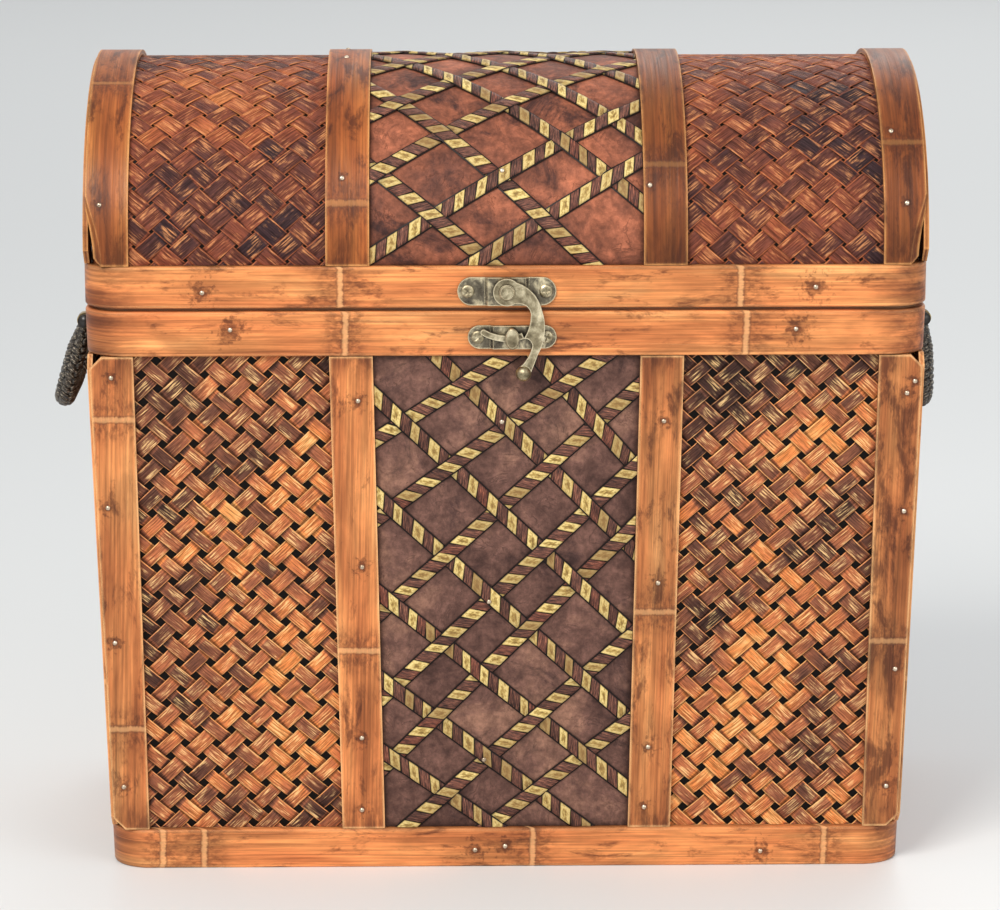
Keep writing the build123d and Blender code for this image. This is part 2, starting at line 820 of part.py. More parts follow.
with BuildPart() as hinge_lid_leaves:
    low = lid_band_low - seam_height
    high = hinge_high - seam_height
    add(hinge_leaves(lid_back_plane, low, high, (knuckle,), (0, 2 * knuckle)))
    for middle in (-hinge_place, hinge_place):
        add(
            hinge_barrel(middle, -1, hinge_length + 2, hinge_pin_radius + running_gap),
            mode=Mode.SUBTRACT,
        )
    drill(
        lid_back_plane.offset(hinge_leaf_thickness),
        hinge_lid_screws_set,
        screw_radius,
        2 * hinge_leaf_thickness,
    )
save(hinge_lid_leaves, "hinge_lid_leaves")
save(
    screws(
        lid_back_plane.offset(hinge_leaf_thickness),
        hinge_lid_screws_set,
        screw_head_radius,
        screw_radius,
        hinge_leaf_thickness + screw_bite,
    ),
    "hinge_lid_screws",
)

with BuildPart() as hinge_pins:
    for middle in (-hinge_place, hinge_place):
        add(hinge_barrel(middle, 0, hinge_length, hinge_pin_radius))
        for start in (-hinge_pin_head, hinge_length):
            add(hinge_barrel(middle, start, hinge_pin_head, hinge_knuckle_radius))
save(hinge_pins, "hinge_pins")


# Handles: a braided bail whose thin ends turn in a clip on the rim band
def handle_place(out_x):
    """Point on the turning axis of the handle at one end."""
    face = side_plane((out_x, 0), band_thickness)
    return face.from_local_coords((0, up(handle_height), handle_stand))


def handle(out_x, lean):
    """Bail that hangs from its axis, leaning out by an angle."""
    turn = radians(lean)
    plane = Plane(
        origin=handle_place(out_x), x_dir=(0, 1, 0), z_dir=(cos(turn), 0, out_x * sin(turn))
    )
    half = handle_span / 2
    end_length = handle_end_radius + clip_width + 2 * clip_play
    with BuildPart() as bail:
        with BuildLine(plane) as bail_line:
            FilletPolyline(
                (-half, -handle_taper),
                (-half, -handle_reach),
                (half, -handle_reach),
                (half, -handle_taper),
                radius=handle_bend,
            )
        path = bail_line.line
        with BuildSketch(Plane(origin=path @ 0, z_dir=path % 0)):
            Circle(handle_radius)
        sweep(path=path)
        for side in (-1, 1):
            with Locations(plane.location * Location((side * half, -handle_taper, 0), (-90, 0, 0))):
                Cone(
                    handle_radius,
                    handle_end_radius,
                    handle_taper,
                    align=(Align.CENTER, Align.CENTER, Align.MIN),
                )
            with Locations(plane.location * Location((side * half, 0, 0))):
                Sphere(handle_end_radius)
            with BuildSketch(Plane(origin=plane.from_local_coords((side * half, 0, 0)), z_dir=(0, side, 0))):
                Circle(handle_end_radius)
            extrude(amount=end_length)
            with BuildSketch(
                Plane(
                    origin=plane.from_local_coords((side * (half + end_length), 0, 0)),
                    z_dir=(0, side, 0),
                )
            ):
                Circle(handle_knob_radius)
            extrude(amount=handle_knob_length)
    return bail


def clips(out_x):
    """The two clips that hold the ends of one handle."""
    face = side_plane((out_x, 0), band_thickness)
    outer = handle_end_radius + running_gap + clip_wall
    place = up(handle_height)
    with BuildPart() as pair:
        for side in (-1, 1):
            profile = Plane(
                origin=face.from_local_coords((side * clip_across - clip_width / 2, place, 0)),
                x_dir=face.y_dir,
                z_dir=face.x_dir,
            )
            with BuildSketch(profile):
                with Locations((0, clip_base / 2)):
                    Rectangle(2 * (outer + clip_foot), clip_base)
                with Locations((0, handle_stand / 2)):
                    Rectangle(2 * outer, handle_stand)
                with Locations((0, handle_stand)):
                    Circle(outer)
                    Circle(handle_end_radius + running_gap, mode=Mode.SUBTRACT)
            extrude(amount=clip_width)
        drill(face.offset(clip_base), clip_screws_set, clip_screw_radius, 2 * clip_base)
    return pair


for hand, out_x, lean in (("left", -1, left_handle_lean), ("right", 1, right_handle_lean)):
    save(handle(out_x, lean), f"{hand}_handle")
    save(clips(out_x), f"{hand}_handle_clips")
    save(
        screws(
            side_plane((out_x, 0), band_thickness).offset(clip_base),
            clip_screws_set,
            clip_screw_head_radius,
            clip_screw_radius,
            clip_base + screw_bite,
        ),
        f"{hand}_handle_screws",
    )
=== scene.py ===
from functools import partialmethod
from math import atan2, ceil, cos, floor as down, hypot, pi, radians, sin

import bmesh
import bpy
import numpy as np
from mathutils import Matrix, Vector


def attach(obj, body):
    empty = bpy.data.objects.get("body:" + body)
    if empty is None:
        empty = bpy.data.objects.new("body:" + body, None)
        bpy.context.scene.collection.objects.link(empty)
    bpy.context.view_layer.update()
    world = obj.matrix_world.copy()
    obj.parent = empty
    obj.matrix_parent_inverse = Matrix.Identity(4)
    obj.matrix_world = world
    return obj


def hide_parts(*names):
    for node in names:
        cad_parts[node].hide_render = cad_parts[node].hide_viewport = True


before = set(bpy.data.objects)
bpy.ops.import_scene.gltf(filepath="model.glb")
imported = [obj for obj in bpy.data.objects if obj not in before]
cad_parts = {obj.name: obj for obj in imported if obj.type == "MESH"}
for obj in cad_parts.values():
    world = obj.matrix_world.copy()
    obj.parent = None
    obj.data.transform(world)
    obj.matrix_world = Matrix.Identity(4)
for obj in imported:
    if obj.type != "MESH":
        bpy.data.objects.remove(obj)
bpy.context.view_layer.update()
scene = bpy.context.scene

# Sizes in millimetres, as the CAD model has them
HALF_X = 174.75
HALF_Y = 88.0
SEAM = 247.8
LEAN = 6.75
CORNER = 13.0
SPRING = 268.5
RISE = 75.6
SKIN_LOW = 17.7
SKIN_HIGH = 227.65
LID_LOW = 266.45
MAT = 1.2
SKIN = 3.4
BAND = 4.0
STRAP = 18.4
STRAP_TOP = 65.9
STRAP_FOOT = 62.1
LID_STRAP = 67.0
FACE = HALF_Y + BAND
ARCH_RADIUS = 82.0
ARCH_RUN = 257.6
LATTICE_TOP = 2.75
SIDES = (("left", -1), ("right", 1))

# Camera, at the photograph's place
TURN = radians(-1.0)
TILT = radians(11.9)
DISTANCE = 1.7
LENS = 136.2
target = Vector((0, 0, 0.172))
away = Vector((sin(TURN) * cos(TILT), -cos(TURN) * cos(TILT), sin(TILT)))
camera_data = bpy.data.cameras.new("photo_camera")
camera = bpy.data.objects.new("photo_camera", camera_data)
scene.collection.objects.link(camera)
camera.location = target + DISTANCE * away
camera.rotation_euler = (-away).to_track_quat("-Z", "Y").to_euler()
camera_data.lens = LENS
camera_data.sensor_width = 36
camera_data.shift_x = -0.003
camera_data.shift_y = -0.0144
scene.camera = camera


def paint(red, green, blue):
    """Colour given as it looks on a screen, 0 to 255."""
    return tuple(((c / 255 + 0.055) / 1.055) ** 2.4 for c in (red, green, blue)) + (1.0,)


class Look:
    """A procedural material, built up in short calls."""

    def __init__(self, name, roughness=0.5, metallic=0.0, coat=0.0, gloss=0.5):
        self.material = bpy.data.materials.new(name)
        self.material.use_nodes = True
        self.tree = self.material.node_tree
        self.shader = self.tree.nodes["Principled BSDF"]
        self.shader.inputs["Roughness"].default_value = roughness
        self.shader.inputs["Metallic"].default_value = metallic
        self.shader.inputs["Coat Weight"].default_value = coat
        self.shader.inputs["Coat Roughness"].default_value = 0.35
        self.shader.inputs["Specular IOR Level"].default_value = gloss

    def node(self, kind, values=(), **settings):
        """New node; the values go to its first inputs in order."""
        made = self.tree.nodes.new(kind)
        for key, value in settings.items():
            setattr(made, key, value)
        for place, value in enumerate(values):
            self.put(made.inputs[place], value)
        return made

    def put(self, socket, value):
        if isinstance(value, bpy.types.NodeSocket):
            self.tree.links.new(value, socket)
        else:
            socket.default_value = value

    def math(self, operation, *values):
        return self.node("ShaderNodeMath", values, operation=operation).outputs[0]

    times = partialmethod(math, "MULTIPLY")
    plus = partialmethod(math, "ADD")
    minus = partialmethod(math, "SUBTRACT")
    most = partialmethod(math, "MAXIMUM")
    least = partialmethod(math, "MINIMUM")
    size = partialmethod(math, "ABSOLUTE")

    def vector_math(self, operation, *vectors):
        made = self.node("ShaderNodeVectorMath", vectors, operation=operation)
        return made.outputs["Vector" if operation == "ADD" else "Value"]

    def vector(self, x, y, z=0.0):
        return self.node("ShaderNodeCombineXYZ", (x, y, z)).outputs[0]

    def scaled(self, first, first_scale, second, second_scale, third=0.0):
        """Vector of two values, each times its number, and a third value."""
        return self.vector(self.times(first, first_scale), self.times(second, second_scale), third)

    def split(self, vector):
        return self.node("ShaderNodeSeparateXYZ", (vector,)).outputs[:]

    def place(self):
        return self.node("ShaderNodeTexCoord").outputs["Object"]

    def attribute(self, name, output="Vector"):
        return self.node("ShaderNodeAttribute", attribute_name=name).outputs[output]

    def noise(self, vector, scale, detail=4.0, rough=0.55, bend=0.0):
        made = self.node("ShaderNodeTexNoise")
        self.put(made.inputs["Vector"], vector)
        made.inputs["Scale"].default_value = scale
        made.inputs["Detail"].default_value = detail
        made.inputs["Roughness"].default_value = rough
        made.inputs["Distortion"].default_value = bend
        return made.outputs["Fac"]

    def span(self, value, start, end, first=0.0, last=1.0):
        made = self.node("ShaderNodeMapRange", interpolation_type="SMOOTHSTEP")
        self.put(made.inputs["Value"], value)
        for name, number in (("From Min", start), ("From Max", end), ("To Min", first), ("To Max", last)):
            made.inputs[name].default_value = number
        return made.outputs["Result"]

    def ramp(self, value, *stops):
        """Colour ramp from stops of a place, red, green and blue."""
        made = self.node("ShaderNodeValToRGB")
        self.put(made.inputs["Fac"], value)
        points = made.color_ramp.elements
        while len(points) < len(stops):
            points.new(0.5)
        for point, (where, *colour) in zip(points, stops):
            point.position = where
            point.color = paint(*colour)
        return made.outputs["Color"]

    def mix(self, share, first, second, way="MIX"):
        made = self.node("ShaderNodeMix", data_type="RGBA", blend_type=way)
        self.put(made.inputs[0], share)
        self.put(made.inputs[6], first)
        self.put(made.inputs[7], second)
        return made.outputs[2]

    def dim(self, colour, share, *limits):
        """Colour times a number; with limits, the number is first brought to that span."""
        if limits:
            share = self.span(share, *limits)
        return self.mix(1.0, colour, self.vector(share, share, share), "MULTIPLY")

    def edge(self, radius):
        """How near a sharp edge is, from the rounded normal."""
        bevel = self.node("ShaderNodeBevel", samples=6)
        bevel.inputs["Radius"].default_value = radius
        normal = self.node("ShaderNodeNewGeometry").outputs["Normal"]
        same = self.vector_math("DOT_PRODUCT", bevel.outputs[0], normal)
        return self.span(self.minus(1.0, same), 0.006, 0.16)

    def openness(self, reach):
        """How open the surface is, from what stands within reach of it, in metres."""
        made = self.node("ShaderNodeAmbientOcclusion", samples=8)
        made.inputs["Distance"].default_value = reach
        return made.outputs["AO"]

    def near(self, point, radius):
        """Soft spot round a point, given in metres."""
        far = self.vector_math("DISTANCE", self.place(), point)
        uneven = self.span(self.noise(self.place(), 420.0, 3.0, 0.6), 0.32, 0.68, 0.5, 1.7)
        return self.span(self.times(far, uneven), radius * 0.2, radius, 1.0, 0.0)

    def finish(self, colour, bump=None, depth=0.0002, roughness=None):
        self.put(self.shader.inputs["Base Color"], colour)
        if bump is not None:
            made = self.node("ShaderNodeBump")
            made.inputs["Strength"].default_value = 1.0
            made.inputs["Distance"].default_value = depth
            self.put(made.inputs["Height"], bump)
            self.put(self.shader.inputs["Normal"], made.outputs["Normal"])
        if roughness is not None:
            self.put(self.shader.inputs["Roughness"], roughness)
        return self.material


# Places on the trunk's surfaces. Each turns arrays of two flat coordinates and a height over
# the boards into points in millimetres.
def leaning(z):
    return LEAN * (SEAM - z) / SEAM


def wrap_end(side):
    """Round one end of the body; u runs from the middle of the end, negative to the front."""

    def place(u, z, h):
        far_x = HALF_X - leaning(z)
        far_y = HALF_Y - leaning(z)
        flat = far_y - CORNER
        arc = CORNER * pi / 2
        way = np.sign(u)
        gone = np.abs(u)
        bend = np.clip((gone - flat) / CORNER, 0, pi / 2)
        past = np.maximum(gone - flat - arc, 0)
        x = far_x - CORNER + (CORNER + h) * np.cos(bend) - past
        y = way * (np.minimum(gone, flat) + (CORNER + h) * np.sin(bend))
        return np.stack([side * x, y, z], axis=-1)

    return place


def body_face(side):
    """Front (-1) or back (1) of the body; u is x."""

    def place(u, z, h):
        return np.stack([u, side * (HALF_Y - leaning(z) + h), z], axis=-1)

    return place


arch_turns = np.linspace(0, pi, 721)
arch_steps = np.hypot(
    np.diff((HALF_Y + MAT) * np.cos(arch_turns)), np.diff((RISE + MAT) * np.sin(arch_turns))
)
arch_lengths = np.concatenate([[0], np.cumsum(arch_steps)])
ARCH = arch_lengths[-1] / 2
LEG = SPRING - LID_LOW


def round_corner(points, h):
    """Points beyond the lid's rounded corners, brought back onto them."""
    out_x = np.abs(points[:, 0]) - (HALF_X - CORNER)
    out_y = np.abs(points[:, 1]) - (HALF_Y - CORNER)
    far = np.hypot(out_x, out_y)
    share = np.where((out_x > 0) & (out_y > 0) & (far > CORNER + h), (CORNER + h) / np.maximum(far, 1), 1)
    points[:, 0] = np.sign(points[:, 0]) * (HALF_X - CORNER + out_x * share)
    points[:, 1] = np.sign(points[:, 1]) * (HALF_Y - CORNER + out_y * share)
    return points


def dome(u, s, h):
    """Over the lid; u is x and s runs along the arch from its crown, negative to the front."""
    angle = np.interp(s + ARCH, arch_lengths, arch_turns)
    y = -(HALF_Y + h) * np.cos(angle)
    z = SPRING + (RISE + h) * np.sin(angle)
    z = z - np.maximum(np.abs(s) - ARCH, 0)
    return round_corner(np.stack([u, y, z], axis=-1), h)


def lid_end(side):
    """Half moon end of the lid; u is y."""

    def place(u, z, h):
        return round_corner(np.stack([side * (HALF_X + h), u, z], axis=-1), h)

    return place


def new_mesh(name, points, faces):
    mesh = bpy.data.meshes.new(name)
    mesh.from_pydata(points, [], faces)
    return mesh


def tag(mesh, strand, lift):
    """What the materials read: place along and across a strip with its tone, and its level."""
    mesh.attributes.new("strand", "FLOAT_VECTOR", "POINT").data.foreach_set("vector", strand)
    mesh.attributes.new("lift", "FLOAT", "POINT").data.foreach_set("value", lift)


def add_piece(name, mesh, body, material, replaces=(), smooth=True):
    mesh.polygons.foreach_set("use_smooth", [smooth] * len(mesh.polygons))
    mesh.update()
    mesh.materials.append(material)
    made = bpy.data.objects.new(name, mesh)
    scene.collection.objects.link(made)
    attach(made, body)
    if replaces:
        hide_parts(*replaces)


def outward(mesh, centre):
    """Flip the mesh where most of its faces look towards a point inside, in metres."""
    wrong = sum(
        1 if (face.center - Vector(centre)).dot(face.normal) < 0 else -1 for face in mesh.polygons
    )
    if wrong > 0:
        mesh.flip_normals()


def build(name, body, flat, place, material, replaces, cuts, inside=None, keep=None, smooth=True):
    """Object from a flat mesh of (u, v, height), cut to its outline and laid on a surface."""
    points, faces, strand, lift = flat
    mesh = new_mesh(name, points.tolist(), faces.tolist())
    tag(mesh, strand.ravel(), lift.ravel())
    bm = bmesh.new()
    bm.from_mesh(mesh)
    for point, normal in cuts:
        bmesh.ops.bisect_plane(
            bm, geom=bm.verts[:] + bm.edges[:] + bm.faces[:], plane_co=point, plane_no=normal,
            clear_outer=True, dist=1e-6,
        )
    if keep:
        lost = [face for face in bm.faces if not keep(*face.calc_center_median()[:2])]
        bmesh.ops.delete(bm, geom=lost, context="FACES")
    bm.to_mesh(mesh)
    bm.free()
    count = len(mesh.vertices)
    flat_points = np.empty(count * 3)
    mesh.vertices.foreach_get("co", flat_points)
    flat_points = flat_points.reshape(-1, 3)
    laid = place(flat_points[:, 0], flat_points[:, 1], flat_points[:, 2]) * 0.001
    mesh.vertices.foreach_set("co", laid.ravel())
    add_piece(name, mesh, body, material, replaces, smooth)
    if inside:
        outward(mesh, inside)


def join(*parts):
    """Several flat meshes as one."""
    starts = np.cumsum([0] + [len(part[0]) for part in parts])
    moved = [(part[0], part[1] + start, part[2], part[3]) for part, start in zip(parts, starts)]
    return tuple(np.concatenate(column) for column in zip(*moved))


def grid_faces(rows, columns):
    first = (np.arange(rows - 1)[:, None] * columns + np.arange(columns - 1)[None, :]).ravel()
    return np.stack([first, first + 1, first + columns + 1, first + columns], -1)


def raised(flat, height):
    """Rows of flat points with their heights, as one list of points."""
    return np.concatenate([flat, height[:, :, None]], -1).reshape(-1, 3)


def plain(points, faces):
    """Flat mesh of the dark ground, which a level of -1 marks."""
    return points, faces, np.zeros((len(points), 3)), np.full(len(points), -1.0)


def sheet(u_low, u_high, v_low, v_high, across, along, skew=None):
    """Flat grid, used as the dark ground behind a weave."""
    grid_u, grid_v = np.meshgrid(np.linspace(0, 1, across + 1), np.linspace(v_low, v_high, along + 1))
    left, right = (u_low, u_high) if skew is None else skew(grid_v)
    points = np.stack([left + grid_u * (right - left), grid_v, np.full_like(grid_v, GROUND)], -1)
    return plain(points.reshape(-1, 3), grid_faces(along + 1, across + 1))


# Across a strip, from edge to edge, and along it, from one crossing to the next
FLAT_SIDE = np.array([-1.0, -0.86, 0.86, 1.0])
ROUND_SIDE = np.array([-1.0, -0.6, 0.0, 0.6, 1.0])
STEPS = np.array([-0.5, -0.44, -0.36, -0.2, 0.2, 0.36, 0.44])
STEEP = 3.6
GROUND = 0.05
BODY_STRIPS = {"pitch": 9.0, "width": 5.9, "middle": 0.62, "swing": 0.3, "droop": 0.24}
LID_STRIPS = {"pitch": 9.4, "width": 8.3, "middle": 0.62, "swing": 0.26, "droop": 0.26}


def weave(box, angle, seed, pitch, width, middle, swing, droop, crowned=False):
    """Flat plain weave over a box, each strip a ribbon that goes over and under."""
    side = ROUND_SIDE if crowned else FLAT_SIDE
    fall = droop * (side ** 2 if crowned else (np.abs(side) > 0.95))
    random = np.random.default_rng(seed)
    u_low, v_low, u_high, v_high = box
    centre = np.array([(u_low + u_high) / 2, (v_low + v_high) / 2])
    reach = hypot(u_high - u_low, v_high - v_low) / 2 + pitch
    spacing = pitch / sin(2 * angle)
    parts = []
    for family, way in ((0, 1), (1, -1)):
        along = np.array([cos(angle), way * sin(angle)])
        across = np.array([-way * sin(angle), cos(angle)])
        for strip in range(-int(reach / pitch) - 1, int(reach / pitch) + 2):
            shift = -way * strip * cos(2 * angle)
            first = ceil((-reach / spacing) - shift)
            last = down((reach / spacing) - shift)
            numbers = np.arange(first, last + 1)
            over = np.where((numbers + strip + family) % 2 == 0, 1.0, -1.0)
            tones = 0.35 * random.random() + 0.65 * random.random(len(numbers))
            wide = width * (0.92 + 0.14 * random.random())
            place = ((numbers[:, None] + STEPS[None, :] + shift) * spacing).ravel()
            level = (over[:, None] * np.tanh(STEEP * np.cos(pi * STEPS))[None, :]).ravel()
            tone = np.repeat(tones, len(STEPS))
            line = centre + strip * pitch * across + place[:, None] * along
            inside = (
                (line[:, 0] > u_low - pitch) & (line[:, 0] < u_high + pitch)
                & (line[:, 1] > v_low - pitch) & (line[:, 1] < v_high + pitch)
            )
            if inside.sum() < 2:
                continue
            start, end = np.flatnonzero(inside)[[0, -1]]
            line, place, level, tone = (a[start:end + 1] for a in (line, place, level, tone))
            offsets = side * wide / 2
            flat = line[:, None, :] + offsets[None, :, None] * across[None, None, :]
            height = middle + swing * level[:, None] - fall[None, :]
            points = raised(flat, height)
            strand = np.stack([
                np.repeat(place + 61.0 * strip, len(side)),
                np.tile(offsets, len(place)) + 17.0 * strip + 997.0 * family,
                np.repeat(tone, len(side)) + 4.0 * np.tile(np.abs(side) > 0.95, len(place)),
            ], -1)
            parts.append((
                points, grid_faces(len(place), len(side)), strand, np.repeat(0.5 + 0.5 * level, len(side))
            ))
    return join(*parts)


# Lattice braids, with the same ends as the CAD lattices: heights at x = -60 and x = 60
REACH = 60.0
BRAID = 6.0
SHADOW_STRIP_RIM = 0.5
SHADOW_STRIP_HEIGHT = 1.66
PATCH_HEIGHT = 2.05
BEND_REACH = 8.0
RUN_OUT = 30.0
SLANT = 0.76
FRONT_RISING = [
    (-110, -10), (-23, 71.2), (2.8, 109.7), (38.1, 158.2), (70.5, 183.9),
    (109.4, 217.6), (153, 240.9), (188.4, 266), (240, 330),
]
FRONT_FALLING = [
    (10, -80), (56.7, -28.4), (89.6, -3.1), (128, 28.8), (170.9, 60.2),
    (214.3, 99.4), (258.2, 136.4), (310, 173.1), (370, 240),
]
LID_RISING = [
    (-230, -140), (-160.5, -85.7), (-130.4, -56), (-96.6, -17.2), (-65.9, 17.1),
    (-32, 50), (1, 83), (34, 116), (67, 149), (135, 215),
]
LID_FALLING = [
    (-150, -240), (-88.4, -186.4), (-42.7, -154.7), (-5.3, -109.1), (26.7, -78.7),
    (62, -44), (97, -9), (132, 26), (167, 61), (202, 96), (260, 140),
]
PATCH = 5.5
RIB = np.array([-1.0, -0.96, -0.55, 0.0, 0.55, 0.96, 1.0])
CROWN = np.array([-1.0, 0.0, 0.16, 0.22, 0.16, 0.0, -1.0])


def braids(rising, falling, rising_over, upright, seed):
    """Flat lattice: each braid is a row of slanting gold and brown patches on a dark strip that paints the
    shadow lines along its edges.
    """
    random = np.random.default_rng(seed)
    parts = []
    for family, (own, other) in enumerate(((rising, falling), (falling, rising))):
        for number, (left, right) in list(enumerate(own))[1:-1]:
            length = hypot(2 * REACH, right - left)
            along = np.array([2 * REACH, right - left]) / length
            across = np.array([-along[1], along[0]])
            start = np.array([-REACH, left])
            crossings = []
            for other_number, (other_left, other_right) in enumerate(other):
                slope = (right - left) / (2 * REACH)
                other_slope = (other_right - other_left) / (2 * REACH)
                x = (other_left - left) / (slope - other_slope)
                over = ((number + other_number) % 2 == 1) == rising_over
                sign = 1.0 if over == (family == 0) else -1.0
                crossings.append((x * length / (2 * REACH), sign))

            def lifted(place):
                total = np.zeros_like(place)
                for where, sign in crossings:
                    gone = np.clip(np.abs(place - where) / BEND_REACH, 0, 1)
                    total = total + sign * 0.5 * (1 + np.cos(pi * gone))
                return total

            ends = (0.0, 1.0) if upright(family, number) else (1.0, 0.0)
            slant = SLANT * np.sign(np.dot(ends, along) / np.dot(ends, across))
            place = np.arange(-RUN_OUT, length + RUN_OUT, 2.0)
            ground = start + place[:, None] * along
            # A dark strip a little wider than the braid, for the painted shadow lines
            offsets = np.array([-1.0, -0.9, 0.9, 1.0]) * (BRAID / 2 + SHADOW_STRIP_RIM)
            flat = ground[:, None, :] + offsets[None, :, None] * across
            height = np.maximum(SHADOW_STRIP_HEIGHT + 0.7 * lifted(place), 1.35)[:, None]
            height = height - np.array([0.1, 0, 0, 0.1])[None, :]
            points = raised(flat, height)
            parts.append(plain(points, grid_faces(len(place), len(offsets))))
            edge = -RUN_OUT + 2 * PATCH * random.random()
            gold = True
            while edge < length + RUN_OUT:
                size = PATCH * (0.84 + 0.32 * random.random())
                share = np.linspace(0, 1, 5)
                inner = 0.16 + share * (size - 0.32)
                tone = random.random()
                skew = slant * (0.86 + 0.28 * random.random())
                local = edge + inner[:, None] + skew * (RIB * BRAID / 2)[None, :]
                flat = start + local[:, :, None] * along + (RIB * BRAID / 2)[None, :, None] * across
                bulge = np.sin(pi * np.clip(share, 0.04, 0.96)) ** 0.5
                height = PATCH_HEIGHT + 0.34 * lifted(local)
                height = height + (CROWN * (CROWN > 0))[None, :] * bulge[:, None]
                height = height - 0.55 * (CROWN < 0)[None, :] + 0.16 * bulge[:, None]
                points = raised(flat, height)
                strand = np.stack([
                    np.repeat(share, len(RIB)), np.tile(RIB, len(share)),
                    np.full(points.shape[0], tone + 7.0 * number + 90.0 * family),
                ], -1)
                lift = (1.0 if gold else 0.0) + 0.3 * np.clip(lifted(local), -1, 1).ravel()
                parts.append((points, grid_faces(len(share), len(RIB)), strand, lift))
                edge += size
                gold = not gold
    return join(*parts)


def box_cuts(u_low, u_high, v_low, v_high):
    return [
        ((u_low, 0, 0), (-1, 0, 0)), ((u_high, 0, 0), (1, 0, 0)),
        ((0, v_low, 0), (0, -1, 0)), ((0, v_high, 0), (0, 1, 0)),
    ]


def leaning_cuts(foot, top):
    """Two sides that stand apart by foot at the skin's foot and top at its top, and its ends."""
    rise = SKIN_HIGH - SKIN_LOW
    cuts = box_cuts(-1000, 1000, SKIN_LOW, SKIN_HIGH)[2:]
    for way in (-1, 1):
        cuts.append(((way * foot, SKIN_LOW, 0), Vector((way * rise, foot - top, 0)).normalized()))
    return cuts


def leaning_sheet(foot, top, across):
    """Dark ground with the same leaning sides as leaning_cuts."""

    def sides(v):
        far = foot + (top - foot) * (v - SKIN_LOW) / (SKIN_HIGH - SKIN_LOW)
        return -far, far

    return sheet(0, 0, SKIN_LOW, SKIN_HIGH, across, 8, sides)


# Woven strips
def woven(name, stops, gold, seed, under=0.0, rim_share=0.3, right=0.0):
    look = Look(name, roughness=0.5, gloss=0.1)
    along, across, kind = look.split(look.attribute("strand"))
    tone = look.least(kind, 1.0)
    rim = look.times(look.span(kind, 1.1, 2.0), look.span(kind, 3.0, 4.2, 1.0, 0.0))
    lift = look.attribute("lift", "Fac")
    fibre = look.noise(look.vector(look.times(along, 0.06), across, seed), 1.9, 4.0, 0.62)
    drift = look.scaled(along, 0.12, across, 0.25, seed)
    cloud = look.noise(drift, 0.9, 3.0)
    patch = look.noise(look.place(), 16.0, 3.0)
    shade = look.plus(look.times(tone, 0.72), look.times(cloud, 0.42))
    shade = look.plus(shade, look.span(patch, 0.35, 0.65, -0.32, 0.14))
    x, _, height = look.split(look.place())
    # Painted shade: the weave darker towards the top, under the rim band, by under, and darker to the right,
    # by right
    shade = look.plus(shade, look.span(height, 0.185, 0.226, 0.0, under))
    shade = look.plus(shade, look.span(x, -0.02, 0.08, 0.0, right))
    colour = look.ramp(shade, *stops)
    colour = look.dim(colour, fibre, 0.34, 0.62, 0.46, 1.22)
    # Painted highlight, partly wear: pale gold streaks on the crests of the strips that go over
    streak = look.times(look.span(fibre, 0.48, 0.62), look.span(lift, 0.75, 1.0))
    streak = look.times(streak, look.span(cloud, 0.44, 0.6))
    colour = look.mix(look.times(streak, 0.8), colour, gold)
    # Painted highlight: pale lines along the strips' edges
    colour = look.mix(look.times(rim, rim_share), colour, gold)
    # Painted shade: the strips darker where they dive under another, and dark along their outermost edges,
    # where they meet
    colour = look.dim(colour, lift, 0.0, 0.42, 0.34, 1.0)
    colour = look.dim(colour, kind, 3.2, 4.6, 1.0, 0.45)
    # The ground between the strips painted near black: the dark backing, with painted shade in the holes
    colour = look.mix(look.math("LESS_THAN", lift, -0.5), colour, paint(13, 7, 4))
    bump = look.times(fibre, look.span(lift, 0.0, 0.2))
    return look.finish(colour, bump, 0.0006, look.span(fibre, 0.3, 0.7, 0.58, 0.36))


# Painted shade: the body weave's -0.24 darkens its top under the rim band, and the lid weave's right darkens
# its right side
body_weave = woven(
    "body_weave",
    (
        (0.0, 64, 42, 36), (0.22, 104, 66, 52), (0.42, 150, 90, 64),
        (0.6, 192, 112, 72), (0.8, 228, 136, 74), (1.0, 240, 168, 100),
    ),
    paint(252, 210, 144), 3.1, -0.24,
)
lid_weave = woven(
    "lid_weave",
    (
        (0.0, 56, 38, 40), (0.3, 98, 56, 46), (0.55, 132, 70, 50),
        (0.8, 166, 90, 56), (1.0, 194, 116, 68),
    ),
    paint(220, 150, 96), 8.7, rim_share=0.1, right=-0.13,
)

SWEEP = radians(42)
LID_SWEEP = radians(41)
END_FOOT, END_TOP = 182.5, 191.3
BODY_INSIDE = (0, 0, 0.12)
LID_INSIDE = (0, 0, SPRING / 1000)
LID_END_INSIDE = (0, 0, 0.3)
for hand, side in SIDES:
    strips = weave((-192, SKIN_LOW, 192, SKIN_HIGH), SWEEP, 11 + side, **BODY_STRIPS)
    build(
        f"woven_{hand}", "trunk", join(strips, leaning_sheet(END_FOOT, END_TOP, 120)),
        wrap_end(side), body_weave, [f"{hand}_mat"], leaning_cuts(END_FOOT, END_TOP), BODY_INSIDE,
        smooth=False,
    )

strips = weave((-68, SKIN_LOW, 68, SKIN_HIGH), SWEEP, 21, **BODY_STRIPS)
build(
    "woven_back", "trunk", join(strips, leaning_sheet(STRAP_FOOT, STRAP_TOP, 8)),
    body_face(1), body_weave, ["back_mat"], leaning_cuts(STRAP_FOOT, STRAP_TOP), BODY_INSIDE,
    smooth=False,
)


def in_arch(y, z):
    return z < SPRING or hypot(y / (HALF_Y - 3), (z - SPRING) / (RISE - 3)) < 1


